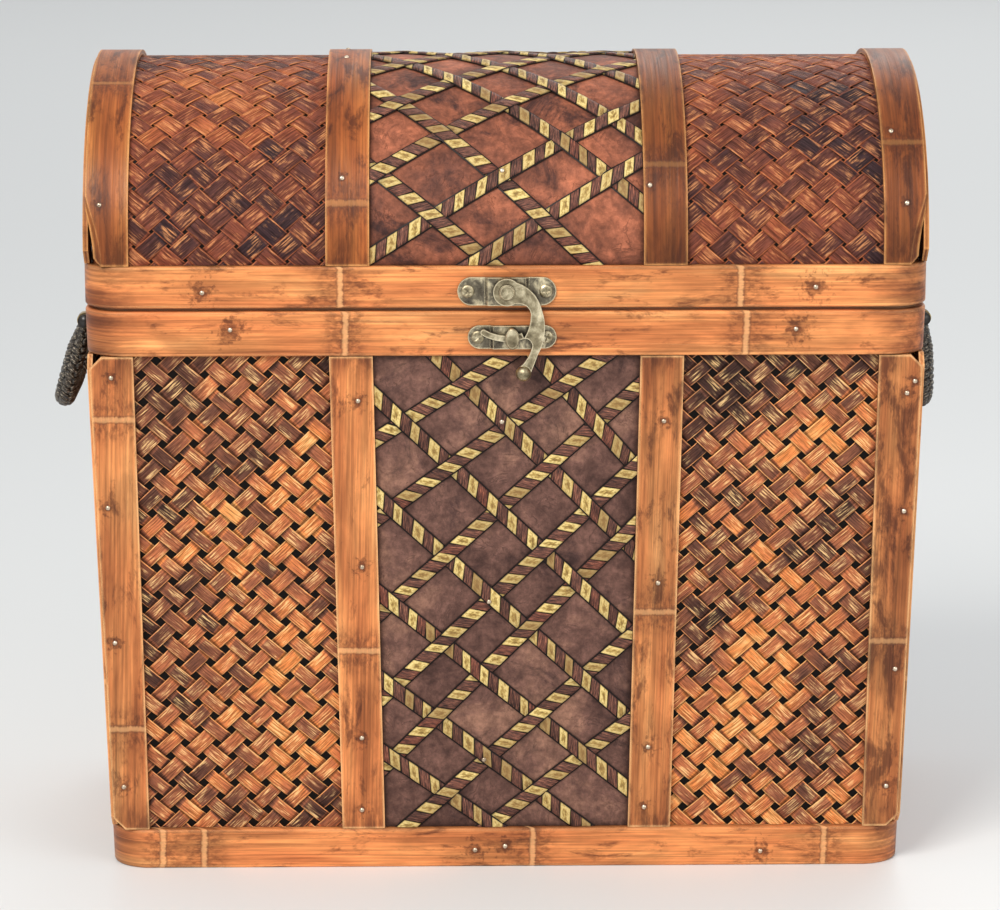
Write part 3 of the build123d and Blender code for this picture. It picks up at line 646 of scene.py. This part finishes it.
reach = ARCH + LEG
for hand, side in SIDES:
    near, far = sorted((side * LID_STRAP, side * HALF_X))
    ground = sheet(near, far, -reach, reach, 24, 90)
    strips = weave((near, -reach, far, reach), LID_SWEEP, 31 + side, **LID_STRIPS)
    build(
        f"lid_woven_{hand}", "lid", join(strips, ground), dome, lid_weave,
        [f"lid_{hand}_mat"], box_cuts(near, far, -reach, reach), LID_INSIDE, smooth=False,
    )
    strips = weave((-86, LID_LOW, 86, SPRING + RISE), LID_SWEEP, 41 + side, **LID_STRIPS)
    points, faces, _, _ = sheet(-1, 1, 0, 1, 60, 24)
    u = points[:, 0] * HALF_Y
    top = SPRING + RISE * np.sqrt(np.maximum(0, 1 - (u / HALF_Y) ** 2))
    points = np.stack([u, LID_LOW + points[:, 1] * (top - LID_LOW), points[:, 2]], -1)
    build(
        f"lid_end_woven_{hand}", "lid", join(strips, plain(points, faces)), lid_end(side),
        lid_weave, [f"lid_{hand}_end_mat"], box_cuts(-HALF_Y, HALF_Y, LID_LOW, 400), LID_END_INSIDE,
        in_arch, smooth=False,
    )


# Braids of the lattices
def braided(name):
    look = Look(name, roughness=0.42, gloss=0.2)
    share, side, tone = look.split(look.attribute("strand"))
    lift = look.attribute("lift", "Fac")
    kind = look.math("ROUND", lift)
    under = look.minus(lift, kind)
    middle = look.vector(look.minus(share, 0.5), look.times(side, 0.45), tone)
    grain = look.noise(middle, 5.0, 4.0, 0.6)
    spread = look.vector(look.minus(share, 0.5), look.times(side, 0.38))
    far = look.vector_math("LENGTH", spread)
    olive = look.plus(far, look.span(grain, 0.3, 0.7, -0.2, 0.2))
    # The gold patches olive in the middle and paler towards their edges, a painted highlight
    gold = look.ramp(
        olive, (0.0, 134, 106, 56), (0.2, 182, 152, 84), (0.42, 234, 210, 140),
        (0.6, 214, 178, 104),
    )
    worn = look.noise(look.vector(tone, tone, tone), 3.3, 1.0)
    gold = look.mix(look.span(worn, 0.42, 0.62, 0.0, 0.75), gold, paint(134, 100, 62))
    fibre = look.noise(look.scaled(share, 7.0, side, 0.5, tone), 1.6, 4.0, 0.7)
    brown = look.ramp(
        fibre, (0.34, 30, 20, 20), (0.45, 84, 56, 48), (0.56, 126, 80, 66),
        (0.68, 186, 128, 100),
    )
    for start, end, first, last, depth, shade in (
        (0.4, 0.56, 0.65, 0.0, 0.7, paint(104, 96, 104)), (0.5, 0.64, 0.0, 0.6, 0.6, paint(236, 150, 112)),
    ):
        share_worn = look.span(worn, start, end, first, last)
        brown = look.mix(share_worn, brown, look.mix(depth, brown, shade, "MULTIPLY"))
    colour = look.mix(kind, brown, gold)
    rim = look.times(look.span(share, 0.0, 0.09), look.span(share, 0.91, 1.0, 1.0, 0.0))
    rim = look.times(rim, look.span(look.size(side), 0.88, 1.0, 1.0, 0.3))
    colour = look.dim(colour, rim, 0.0, 1.0, 0.35, 1.0)
    # Painted shade: patches darker where their braid dives under another
    colour = look.dim(colour, under, -0.28, -0.02, 0.42, 1.0)
    # The strip under each braid painted near black: painted shadow lines along the braid's edges and where
    # it crosses over another
    colour = look.mix(look.math("LESS_THAN", kind, -0.5), colour, paint(16, 10, 9))
    return look.finish(colour, look.mix(kind, fibre, grain), 0.0004)


braid_look = braided("braid")
inner_foot = STRAP_FOOT - STRAP / 2 - 0.2
inner_top = STRAP_TOP - STRAP / 2 - 0.2
front_flat = braids(FRONT_RISING, FRONT_FALLING, True, lambda family, number: family == 1, 51)
build(
    "front_braids", "trunk", front_flat, body_face(-1), braid_look, ["front_lattice"],
    leaning_cuts(inner_foot, inner_top), BODY_INSIDE,
)
inner = LID_STRAP - STRAP / 2 - 0.2
lid_flat = braids(
    LID_RISING, LID_FALLING, False, lambda family, number: (number <= 2) == (family == 0), 61
)
build(
    "lid_braids", "lid", lid_flat, dome, braid_look, ["lid_lattice"],
    box_cuts(-inner, inner, -reach, reach), LID_INSIDE,
)


# Bamboo straps and bands
def bamboo(name, kind, seed, rings=(), stains=(), tone=1.0, ends=(), tint=(1.0, 1.0, 1.0), burn=0.0):
    """Varnished bamboo whose grain runs along a band, a post, an arch or a hoop."""
    look = Look(name, roughness=0.4, coat=0.05, gloss=0.2)
    x, y, z = look.split(look.place())
    if kind == "band":
        along, across = look.plus(x, y), z
    elif kind == "post":
        along, across = z, look.plus(x, y)
    else:
        high_z = look.minus(z, SPRING / 1000)
        along = look.times(look.math("ARCTAN2", high_z, look.times(y, -1.0)), ARCH_RADIUS / 1000)
        across = x
        if kind == "hoop":
            across = look.math("SQRT", look.math(
                "ADD", look.times(y, y), look.times(high_z, look.times(high_z, 1.35))
            ))

    def grain(scale, stretch, detail=4.0, rough=0.6, bend=0.0):
        return look.noise(
            look.scaled(across, scale, along, scale / stretch, seed), 1.0, detail, rough, bend
        )

    broad = grain(90.0, 9.0, 3.0)
    fine = grain(1100.0, 60.0, 5.0, 0.65)
    thread = grain(420.0, 60.0, 3.0, 0.5)
    colour = look.ramp(
        broad, (0.3, 186, 106, 60), (0.44, 212, 128, 74), (0.58, 228, 146, 86),
        (0.72, 242, 170, 106),
    )
    uneven = grain(60.0, 3.0, 4.0, 0.6, 0.5)
    for value, *limits in (
        (uneven, 0.34, 0.66, 0.74 * tone, 1.18 * tone), (fine, 0.32, 0.66, 0.66, 1.16),
        (thread, 0.34, 0.5, 0.78, 1.02),
    ):
        colour = look.dim(colour, value, *limits)
    blotch = look.noise(look.scaled(across, 120.0, along, 36.0, seed + 5), 1.0, 7.0, 0.72, 0.4)
    # Darkening: blotches, then darker beside the rings, round the nails, towards the ends and round the band
    # corners
    darkening = look.span(blotch, 0.52 - burn, 0.67 - burn, 0.0, 0.95)
    speck = look.noise(look.scaled(across, 520.0, along, 230.0, seed), 1.0, 5.0, 0.7)
    from_rings = []
    for place in rings:
        wavy = look.span(speck, 0.3, 0.7, -0.0004, 0.0004)
        far = look.size(look.plus(look.minus(along, place / 1000), wavy))
        from_rings.append(far)
        beside = look.span(far, 0.004, 0.014, 1.0, 0.0)
        darkening = look.most(darkening, look.times(beside, look.span(speck, 0.4, 0.62, 0.15, 0.8)))
    for point, radius in stains:
        spot = look.near([c / 1000 for c in point], radius / 1000)
        darkening = look.most(darkening, look.times(spot, look.span(speck, 0.35, 0.6, 0.55, 1.15)))
    # Darker towards the given ends
    for place, reach in ends:
        far = look.size(look.minus(along, place / 1000))
        end = look.span(far, 0.0, reach / 1000, 0.9, 0.0)
        darkening = look.most(darkening, look.times(end, look.span(blotch, 0.38, 0.6, 0.1, 1.1)))
    # Bands darker round their corners
    if kind == "band":
        corner = look.span(look.size(x), 0.150, 0.172)
        darkening = look.most(darkening, look.times(corner, look.span(blotch, 0.36, 0.6, 0.2, 1.0)))
    darkening = look.least(darkening, 1.0)
    dark_tint = look.mix(0.75, paint(92, 56, 44), colour, "MULTIPLY")
    colour = look.mix(look.times(darkening, 0.8), colour, dark_tint)
    for far in from_rings:
        light_line = look.dim(paint(250, 190, 130), tone)
        colour = look.mix(look.span(far, 0.0004, 0.0018, 0.5, 0.0), colour, light_line)
        dark_line = look.size(look.minus(far, 0.0015))
        colour = look.mix(look.span(dark_line, 0.0001, 0.0006, 0.4, 0.0), colour, paint(84, 50, 38))
    # Painted highlight: pale lines along the edges, fainter on the blotches
    edge = look.edge(0.0022)
    pale = look.dim(paint(255, 200, 138), 0.55 + 0.45 * tone)
    colour = look.mix(look.times(edge, look.span(blotch, 0.38, 0.64, 0.95, 0.4)), colour, pale)
    colour = look.mix(1.0, colour, tint + (1.0,), "MULTIPLY")
    height = look.plus(look.times(fine, 0.6), look.times(thread, 0.6))
    return look.finish(colour, height, 0.00035, look.span(broad, 0.3, 0.7, 0.46, 0.34))


def dress(node, material):
    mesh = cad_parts[node].data
    mesh.materials.clear()
    mesh.materials.append(material)


def front_x(x, z, h):
    """Point on the body's front, a height h over the boards."""
    return (x, -(HALF_Y - leaning(z) + h), z)


RIM_NAILS = [(-116.7, 239.4), (122.2, 239.1)]
BASE_NAILS = [(-13.7, 7.6), (-0.6, 9.3), (110.8, 6.4)]
LID_BAND_NAILS = [(-128.2, 255.3), (130.3, 257.1)]
# Each strap's tone, how burnt it is, the heights of its rings and its nails; the lower tones of the
# right-hand straps are partly painted shade
STRAPS = {
    "left": (0.8, 0.0, (63.4, 200.5), [(-167.3, 218.7), (-169.9, 162.0), (-168.3, 102.1), (-165.9, 37.1)]),
    "middle_left": (0.9, 0.0, (98.1,), [(-63.0, 208.4), (-61.9, 135.5), (-62.6, 58.8), (-62.8, 26.0)]),
    "middle_right": (0.74, 0.03, (114.9,), [(66.8, 199.2), (65.0, 127.9), (61.4, 54.1), (59.9, 26.7)]),
    "right": (
        0.66, 0.08, (101.5,), [(173.3, 216.3), (170.0, 211.1), (170.0, 159.3), (167.9, 88.9), (165.3, 35.8)],
    ),
}
# Each lid strap's tone, the place of its ring along the arch and its nails; the lower tones of the
# right-hand lid straps are partly painted shade
LID_STRAPS = {
    "left": (0.46, -43.2, [(-171.0, -107.2)]),
    "middle_left": (0.5, -106.7, [(-69.2, -96.0), (-68.4, -16.0)]),
    "middle_right": (0.3, -90.1, [(60.4, -99.4)]),
    "right": (0.32, -80.0, [(163.4, -74.4), (168.6, -107.2)]),
}
LID_TINT = (1.0, 0.82, 0.62)
LATTICE_NAILS = [(-2.0, 199.0), (-7.5, 119.7), (-9.7, 48.5)]


def on_dome(x, s, h=SKIN):
    return tuple(dome(np.array([float(x)]), np.array([float(s)]), h)[0])


def dome_spot(x, s, h=SKIN):
    """A point over the lid, and the way out of the lid there."""
    point = Vector(on_dome(x, s, h))
    return point, Vector(on_dome(x, s, h + 1)) - point


rim_stains = [(front_x(x, z, BAND), 7.5) for x, z in RIM_NAILS]
dress("body_rim_band", bamboo("rim_bamboo", "band", 1.3, (-67.8 - FACE, 101.5 - FACE), rim_stains))
base_stains = [(front_x(x, z, BAND), 6.0) for x, z in BASE_NAILS]
dress("base_band", bamboo("base_bamboo", "band", 2.9, (-235, -217.0, -74.0, 53.0), base_stains))
lid_stains = [((x, -FACE, z), 6.5) for x, z in LID_BAND_NAILS]
dress("lid_rim_band", bamboo("lid_bamboo", "band", 4.1, (-70.2 - FACE, 98.7 - FACE), lid_stains))
for face_name, way in (("front", 1), ("back", -1)):
    for number, (hand, (tone, burn, rings, nails)) in enumerate(STRAPS.items()):
        stains = []
        for x, z in nails:
            px, py, pz = front_x(x, z, SKIN)
            stains.append(((px, way * py, pz), 4.5))
        dress(f"{face_name}_strap_{hand}", bamboo(
            f"{face_name}_{hand}_bamboo", "post", 10.0 + number + 5 * way, rings, stains,
            tone=tone, burn=burn, ends=((SKIN_LOW, 22.0), (SKIN_HIGH, 14.0)),
        ))
for hand in ("left", "right"):
    dress(f"{hand}_end_straps", bamboo(
        f"{hand}_end_bamboo", "post", 23.0 + len(hand), (84.0,), ends=((SKIN_LOW, 20.0), (SKIN_HIGH, 16.0)),
    ))
for number, (hand, (tone, place, nails)) in enumerate(LID_STRAPS.items()):
    _, y, z = on_dome(0, place)
    ring = ARCH_RADIUS * atan2(z - SPRING, -y)
    stains = [(on_dome(x, s), 4.0) for x, s in nails]
    dress(f"lid_strap_{hand}", bamboo(
        f"lid_{hand}_bamboo", "arch", 31.0 + number, (ring, ARCH_RUN - ring * 0.8), stains,
        tone=tone, tint=LID_TINT, burn=0.03, ends=((0.0, 18.0), (ARCH_RUN, 18.0)),
    ))
for hand in ("left", "right"):
    dress(f"lid_{hand}_end_hoop", bamboo(
        f"lid_{hand}_hoop_bamboo", "hoop", 41.0 + len(hand), (70.0, 196.0), tone=0.48,
        tint=LID_TINT, ends=((0.0, 16.0), (ARCH_RUN, 16.0)),
    ))


# Sheets behind the lattices
def bark(name, stops, seed, blot):
    look = Look(name, roughness=0.5, gloss=0.12)
    place = look.place()
    broad = look.noise(place, 22.0, 5.0, 0.6, 0.6)
    close = look.noise(place, 130.0, 6.0, 0.7, 0.3)
    colour = look.ramp(look.plus(look.times(broad, 0.7), look.times(close, 0.3)), *stops)
    moved = look.vector_math("ADD", place, (seed, seed, seed))
    vein = look.noise(moved, 46.0, 5.0, 0.62, 1.1)
    crack = look.span(look.size(look.minus(vein, 0.5)), 0.0, 0.014, 1.0, 0.0)
    crack = look.times(crack, look.span(close, 0.42, 0.6))
    colour = look.mix(look.times(crack, 0.4), colour, paint(30, 20, 20))
    spot = look.span(look.noise(moved, 30.0, 6.0, 0.68, 0.8), 0.53, 0.68, 0.0, blot)
    colour = look.mix(spot, colour, paint(44, 32, 34))
    weft = look.noise(place, 420.0, 4.0, 0.7)
    colour = look.dim(colour, close, 0.3, 0.7, 0.74, 1.2)
    colour = look.dim(colour, weft, 0.3, 0.7, 0.78, 1.18)
    # Painted shade: the sheet darker where the braids stand close over it
    colour = look.dim(colour, look.openness(0.012), 0.62, 0.97, 0.42, 1.04)
    height = look.minus(close, look.times(crack, 0.3))
    return look.finish(colour, height, 0.0005)


dress("front_panel", bark(
    "front_bark",
    ((0.36, 80, 56, 50), (0.5, 112, 80, 70), (0.62, 142, 104, 86)), 2.0, 0.6,
))
dress("lid_panel", bark(
    "lid_bark",
    ((0.36, 88, 56, 48), (0.5, 134, 80, 60), (0.64, 172, 102, 74)), 5.0, 0.85,
))


# Wood of the boards inside
def timber(name, *scales):
    """Plain wood; scales are low along the grain and high across it."""
    look = Look(name, roughness=0.62)
    parts = look.split(look.place())
    vector = look.vector(*[look.times(part, scale) for part, scale in zip(parts, scales)])
    rings = look.noise(vector, 1.0, 5.0, 0.6, 0.8)
    pores = look.noise(vector, 7.0, 3.0, 0.6)
    colour = look.ramp(rings, (0.3, 118, 82, 58), (0.5, 150, 108, 76), (0.7, 170, 128, 92))
    colour = look.dim(colour, pores, 0.3, 0.6, 0.8, 1.05)
    colour = look.mix(look.times(look.edge(0.0012), 0.35), colour, paint(196, 156, 116))
    return look.finish(colour, look.plus(rings, pores), 0.0003)


level_wood = timber("level_wood", 6.0, 6.0, 120.0)
dress("bottom_board", timber("floor_wood", 6.0, 120.0, 6.0))
for node in (
    "front_board", "back_board", "left_board", "right_board", "dome_board", "lid_left_end", "lid_right_end"
):
    dress(node, level_wood)
dress("corner_posts", timber("post_wood", 120.0, 120.0, 6.0))


# Metal of the latch, the hinges and the clips
def brass(name, base, worn, shadow, roughness):
    look = Look(name, roughness=roughness, metallic=1.0)
    place = look.place()
    cloud = look.noise(place, 170.0, 5.0, 0.65, 0.3)
    fine = look.noise(place, 900.0, 3.0, 0.6)
    colour = look.ramp(cloud, (0.34, *shadow), (0.5, *base), (0.7, *worn))
    rubbed = look.times(look.edge(0.0011), look.span(fine, 0.3, 0.6, 0.7, 1.0))
    colour = look.mix(rubbed, colour, paint(*worn))
    # Darker where other parts stand close: painted shade in the contact lines, and the antique finish darker
    # in the recesses
    colour = look.dim(colour, look.openness(0.003), 0.35, 0.85, 0.25, 1.0)
    dullness = look.span(cloud, 0.3, 0.7, roughness + 0.16, roughness - 0.06)
    return look.finish(colour, fine, 0.00012, dullness)


latch_brass = brass("latch_brass", (158, 146, 118), (244, 230, 196), (96, 86, 68), 0.34)
plate_brass = brass("plate_brass", (120, 112, 96), (238, 222, 184), (66, 60, 54), 0.36)
hinge_brass = brass("hinge_brass", (140, 118, 82), (214, 192, 146), (76, 60, 40), 0.38)
for node in ("hook", "hook_rivet", "catch_stud"):
    dress(node, latch_brass)
for node in ("hook_plate", "catch_plate"):
    dress(node, plate_brass)
for node in (
    "hinge_body_leaves", "hinge_lid_leaves", "hinge_pins", "left_handle_clips", "right_handle_clips"
):
    dress(node, hinge_brass)


def ring_faces(rows, around, start=0):
    """Faces between closed rings of points."""
    faces = []
    for row in range(rows - 1):
        near_row = start + row * around
        far_row = near_row + around
        for step in range(around):
            beside = (step + 1) % around
            faces.append((near_row + step, near_row + beside, far_row + beside, far_row + step))
    return faces


# Small turned pieces: nails and screw heads, each a dome on a surface
def dome_heads(name, body, spots, radius, height, material, crossed=False, replaces=()):
    """Round heads at (point, normal) pairs, in millimetres."""
    around = 40 if crossed else 14
    levels = np.linspace(0, 1, 9 if crossed else 5)
    points, faces = [], []
    random = np.random.default_rng(len(name) * 7 + len(spots))
    for point, normal in spots:
        normal = Vector(normal).normalized()
        first = normal.orthogonal().normalized()
        second = normal.cross(first)
        spin = random.random() * pi
        start = len(points)
        for level in levels:
            ring = cos(level * pi / 2)
            for step in range(around):
                angle = 2 * pi * step / around
                across, along = ring * cos(angle), ring * sin(angle)
                lift = sin(level * pi / 2)
                if crossed:
                    lift = min(1.0, 1.25 * sin(level * pi / 2) ** 0.8)
                    turned = (
                        across * cos(spin) + along * sin(spin), along * cos(spin) - across * sin(spin)
                    )
                    thin, wide = sorted((abs(turned[0]), abs(turned[1])))
                    if thin < 0.13 and wide < 0.62:
                        lift *= 0.45
                spot = Vector(point) + radius * (across * first + along * second) + height * lift * normal
                points.append(tuple(spot * 0.001))
        faces += ring_faces(len(levels), around, start)
    mesh = new_mesh(name, points, faces)
    bm = bmesh.new()
    bm.from_mesh(mesh)
    bmesh.ops.remove_doubles(bm, verts=bm.verts[:], dist=2e-6)
    bm.to_mesh(mesh)
    bm.free()
    add_piece(name, mesh, body, material, replaces)


nail_look = Look("nail_brass", roughness=0.3, metallic=1.0)
nail_metal = nail_look.finish(
    nail_look.ramp(nail_look.noise(nail_look.place(), 500.0), (0.3, 150, 128, 104), (0.7, 236, 222, 200))
)
NAIL_RADIUS, NAIL_HEIGHT = 1.1, 0.75
NAIL_SLOPE = -0.027
END_STRAP_MIDDLE = 8.6
HOOP_MIDDLE = 8
front_normal = (0, -1, NAIL_SLOPE)
body_spots = [(front_x(x, z, BAND), front_normal) for x, z in RIM_NAILS + BASE_NAILS]
for *_, nails in STRAPS.values():
    body_spots += [(front_x(x, z, SKIN), front_normal) for x, z in nails]
body_spots += [((x, -y, z), (0, 1, nz)) for (x, y, z), (_, _, nz) in list(body_spots)]
body_spots += [(front_x(x, z, LATTICE_TOP), front_normal) for x, z in LATTICE_NAILS]
for side in (-1, 1):
    for z in (30.0, 96.0, 160.0, 214.0):
        for way in (-1, 1):
            y = way * (HALF_Y - leaning(z) - END_STRAP_MIDDLE)
            body_spots.append(((side * (HALF_X - leaning(z) + SKIN), y, z), (side, 0, NAIL_SLOPE)))
    for y, z in ((-58.0, 8.0), (61.0, 9.0), (-66.0, 236.5), (64.0, 238.5)):
        body_spots.append(((side * (HALF_X - leaning(z) + BAND), y, z), (side, 0, NAIL_SLOPE)))
dome_heads("body_nails", "trunk", body_spots, NAIL_RADIUS, NAIL_HEIGHT, nail_metal)

lid_spots = [((x, -FACE, z), (0, -1, 0)) for x, z in LID_BAND_NAILS]
lid_spots += [((x, FACE, z), (0, 1, 0)) for x, z in LID_BAND_NAILS]
for *_, nails in LID_STRAPS.values():
    for x, s in nails:
        lid_spots += [dome_spot(x, s), dome_spot(x, -s)]
lid_spots.append(dome_spot(-1.8, -92.6, LATTICE_TOP))
for side in (-1, 1):
    for turn_at in (0.16, 0.42, 0.68, 0.93, 1.25, 1.57, 1.89, 2.21, 2.46, 2.72, 2.98):
        y = -(HALF_Y - HOOP_MIDDLE) * cos(turn_at)
        z = SPRING + (RISE - HOOP_MIDDLE) * sin(turn_at)
        lid_spots.append(((side * (HALF_X + SKIN), y, z), (side, 0, 0)))
    for y in (-62.0, 58.0):
        lid_spots.append(((side * (HALF_X + BAND), y, 257.0), (side, 0, 0)))
dome_heads("lid_nails", "lid", lid_spots, NAIL_RADIUS, NAIL_HEIGHT, nail_metal)


def islands(node):
    """Each loose part of a node's mesh, as an array of points in millimetres."""
    bm = bmesh.new()
    bm.from_mesh(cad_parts[node].data)
    bmesh.ops.remove_doubles(bm, verts=bm.verts[:], dist=1e-6)
    groups, seen = [], set()
    for vert in bm.verts:
        if vert in seen:
            continue
        group = [vert]
        seen.add(vert)
        for here in group:
            for edge in here.link_edges:
                other = edge.other_vert(here)
                if other not in seen:
                    seen.add(other)
                    group.append(other)
        groups.append(np.array([here.co * 1000 for here in group]))
    bm.free()
    return groups


SCREW_SLOPE = -0.0272
SCREW_HEIGHT = 0.8
for node, body, facing, radius, slot in (
    ("hook_screws", "lid", (0, -1, 0), 2.8, "latch_brass"),
    ("catch_screws", "trunk", (0, -1, SCREW_SLOPE), 2.8, "latch_brass"),
    ("hinge_body_screws", "trunk", (0, 1, SCREW_SLOPE), 2.8, "hinge_brass"),
    ("hinge_lid_screws", "lid", (0, 1, 0), 2.8, "hinge_brass"),
    ("left_handle_screws", "trunk", (-1, 0, SCREW_SLOPE), 1.6, "clip_brass"),
    ("right_handle_screws", "trunk", (1, 0, SCREW_SLOPE), 1.6, "clip_brass"),
):
    spots = []
    normal = Vector(facing).normalized()
    for group in islands(node):
        middle = Vector(tuple((group.min(axis=0) + group.max(axis=0)) / 2))
        top = max(Vector(tuple(p)).dot(normal) for p in group)
        spots.append((middle + (top - SCREW_HEIGHT - middle.dot(normal)) * normal, normal))
    dome_heads(
        f"{node}_crossed", body, spots, radius, SCREW_HEIGHT, latch_brass, crossed=True,
        replaces=[node],
    )


# Handles: a braid round a core, on thin ends that turn in the clips
def leather(name):
    look = Look(name, roughness=0.3, gloss=0.5)
    along, across, _ = look.split(look.attribute("strand"))
    lift = look.attribute("lift", "Fac")
    fibre = look.noise(look.scaled(along, 0.2, across, 1.6), 2.0, 4.0, 0.65)
    # Painted highlight: bright pale glints in the leather, on the ridges of the strands
    colour = look.ramp(
        fibre, (0.4, 14, 11, 9), (0.49, 36, 29, 23), (0.56, 88, 76, 60),
        (0.64, 226, 214, 190),
    )
    # Painted shade: the strands darker down their sides and in the grooves between them
    colour = look.dim(colour, lift, 0.35, 0.98, 0.04, 1.0)
    # The core painted near black: the dark thin ends, and painted shade in the grooves between the strands
    colour = look.mix(look.math("LESS_THAN", lift, -0.5), colour, paint(26, 20, 16))
    return look.finish(colour, fibre, 0.0004)


leather_look = leather("handle_leather")
PIVOT_X, PIVOT_Z = 181.8287, 235.9574
SPAN, DROP, BEND, TAPER = 40.0, 40.5, 22.0, 14.0
THIN, THICK = 2.25, 4.6
AROUND = 27.0
STRAND_STEP = 3.5
CORE = 3.75
BRAID_FOOT = 3.7
KNOB_RADIUS, KNOB_LENGTH = 2.8, 2.0
EYE_END = SPAN + THIN + 6.6


def bail_path():
    """The handle's centre line in its own plane: across, and down from the axis."""
    line = [(-SPAN, -t) for t in np.linspace(0, DROP - BEND, 12)]
    for angle in np.linspace(pi, 1.5 * pi, 16)[1:]:
        line.append((-SPAN + BEND + BEND * cos(angle), -DROP + BEND + BEND * sin(angle)))
    line += [(-across, down_) for across, down_ in reversed(line)]
    return np.array(line)


path = bail_path()
path_lengths = np.concatenate([[0], np.cumsum(np.hypot(*np.diff(path, axis=0).T))])
PATH = path_lengths[-1]


def on_path(v):
    return np.interp(v, path_lengths, path[:, 0]), np.interp(v, path_lengths, path[:, 1])


def bail(side, lean):
    """Map from (round the handle, along it, height over its core) to points."""
    outwards = Vector((side * cos(radians(lean)), 0, sin(radians(lean))))
    upwards = Vector((-side * sin(radians(lean)), 0, cos(radians(lean))))
    centre = np.array([side * PIVOT_X, 0, PIVOT_Z])

    def place(u, v, h):
        a, b = on_path(v)
        step = 0.6
        da, db = np.subtract(on_path(v + step), on_path(v - step))
        size = np.maximum(np.hypot(da, db), 1e-6)
        na, nb = -db / size, da / size
        angle = 2 * pi * u / AROUND
        taper = np.clip(np.minimum(v, PATH - v) / TAPER, 0, 1)
        radius = (THIN + (THICK - THIN) * taper) - (THICK - BRAID_FOOT) + h
        a = a + radius * np.cos(angle) * na
        b = b + radius * np.cos(angle) * nb
        c = radius * np.sin(angle)
        return (
            centre + a[:, None] * np.array([0, 1.0, 0]) + b[:, None] * np.array(upwards)
            + c[:, None] * np.array(outwards)
        )

    return place


def tube(points, radii, around=20):
    """Closed round tube along points; both in millimetres."""
    points = [Vector(p) for p in points]
    verts = []
    side = None
    for number, point in enumerate(points):
        before = points[max(number - 1, 0)]
        after = points[min(number + 1, len(points) - 1)]
        way = (after - before).normalized()
        side = way.orthogonal() if side is None else side - side.dot(way) * way
        side = side.normalized()
        other = way.cross(side)
        for step in range(around):
            angle = 2 * pi * step / around
            verts.append(tuple((point + radii[number] * (cos(angle) * side + sin(angle) * other)) * 0.001))
    faces = ring_faces(len(points), around)
    faces.append(tuple(reversed(range(around))))
    faces.append(tuple(range(len(verts) - around, len(verts))))
    return verts, faces


for hand, side, lean in (("left", -1, 17.0), ("right", 1, 4.0)):
    place = bail(side, lean)
    sweep = atan2(STRAND_STEP / (AROUND / 3), 1)
    strips = weave(
        (0, 3, AROUND, PATH - 3), sweep, 71 + side, pitch=AROUND / 3 * sin(sweep), width=2.9,
        middle=0.35, swing=0.55, droop=0.6, crowned=True,
    )
    cuts = box_cuts(0, AROUND, 3.0, PATH - 3.0)
    build(
        f"{hand}_handle_braid", f"{hand}_handle", strips, place, leather_look,
        [f"{hand}_handle"], cuts,
    )
    upwards = Vector((-side * sin(radians(lean)), 0, cos(radians(lean))))
    middle = Vector((side * PIVOT_X, 0, PIVOT_Z))
    thin_end = [
        (-EYE_END - KNOB_LENGTH, 0.0, KNOB_RADIUS), (-EYE_END, 0.0, KNOB_RADIUS),
        (-EYE_END, 0.0, THIN),
        (-SPAN - 1.0, 0.0, THIN), (-SPAN, -0.4, THIN),
    ]
    line = list(thin_end)
    line += [
        (a, b, THIN - 0.1 + (CORE - THIN) * min(1.0, -b / TAPER)) for a, b in path.tolist() if b < -1.2
    ]
    line += [(-a, b, radius) for a, b, radius in reversed(thin_end)]
    core = [middle + Vector((0, a, 0)) + b * upwards for a, b, _ in line]
    radii = [radius for _, _, radius in line]
    mesh = new_mesh(f"{hand}_handle_core", *tube(core, radii))
    count = len(mesh.vertices)
    tag(mesh, [0.0] * (3 * count), [-1.0] * count)
    add_piece(f"{hand}_handle_core", mesh, f"{hand}_handle", leather_look)


# Floor, backdrop and light
floor_look = Look("floor_stone", roughness=0.5)
floor_material = floor_look.finish(paint(228, 230, 229))
mesh = new_mesh("floor", [(-20, -20, 0), (20, -20, 0), (20, 20, 0), (-20, 20, 0)], [(0, 1, 2, 3)])
floor = bpy.data.objects.new("floor", mesh)
mesh.materials.append(floor_material)
scene.collection.objects.link(floor)

world = bpy.data.worlds.new("studio")
world.use_nodes = True
tree = world.node_tree
lit = tree.nodes["Background"]
seen = tree.nodes.new("ShaderNodeBackground")
for made, colour, strength in ((lit, (0.94, 0.96, 1.0, 1), 0.55), (seen, (0.86, 0.85, 0.83, 1), 1.0)):
    made.inputs["Color"].default_value = colour
    made.inputs["Strength"].default_value = strength
rays = tree.nodes.new("ShaderNodeLightPath")
either = tree.nodes.new("ShaderNodeMath")
either.operation = "MAXIMUM"
choose = tree.nodes.new("ShaderNodeMixShader")
for output, socket in (
    (rays.outputs["Is Camera Ray"], either.inputs[0]), (rays.outputs["Is Glossy Ray"], either.inputs[1]),
    (either.outputs[0], choose.inputs[0]), (lit.outputs[0], choose.inputs[1]),
    (seen.outputs[0], choose.inputs[2]), (choose.outputs[0], tree.nodes["World Output"].inputs["Surface"]),
):
    tree.links.new(output, socket)
scene.world = world


def lamp(name, energy, size, place, tint=(1, 1, 1)):
    made = bpy.data.objects.new(name, bpy.data.lights.new(name, "AREA"))
    made.data.energy = energy
    made.data.size = size
    made.data.color = tint
    made.location = place
    made.rotation_euler = (Vector(place) - target).to_track_quat("Z", "Y").to_euler()
    scene.collection.objects.link(made)


lamp("key", 29, 0.8, (-0.7, -1.3, 1.5), (1.0, 0.97, 0.93))
lamp("fill", 9, 1.2, (1.2, -1.2, 0.8))
lamp("back", 40, 2.5, (1.25, 3.5, 3.0))
scene.view_settings.view_transform = "Standard"
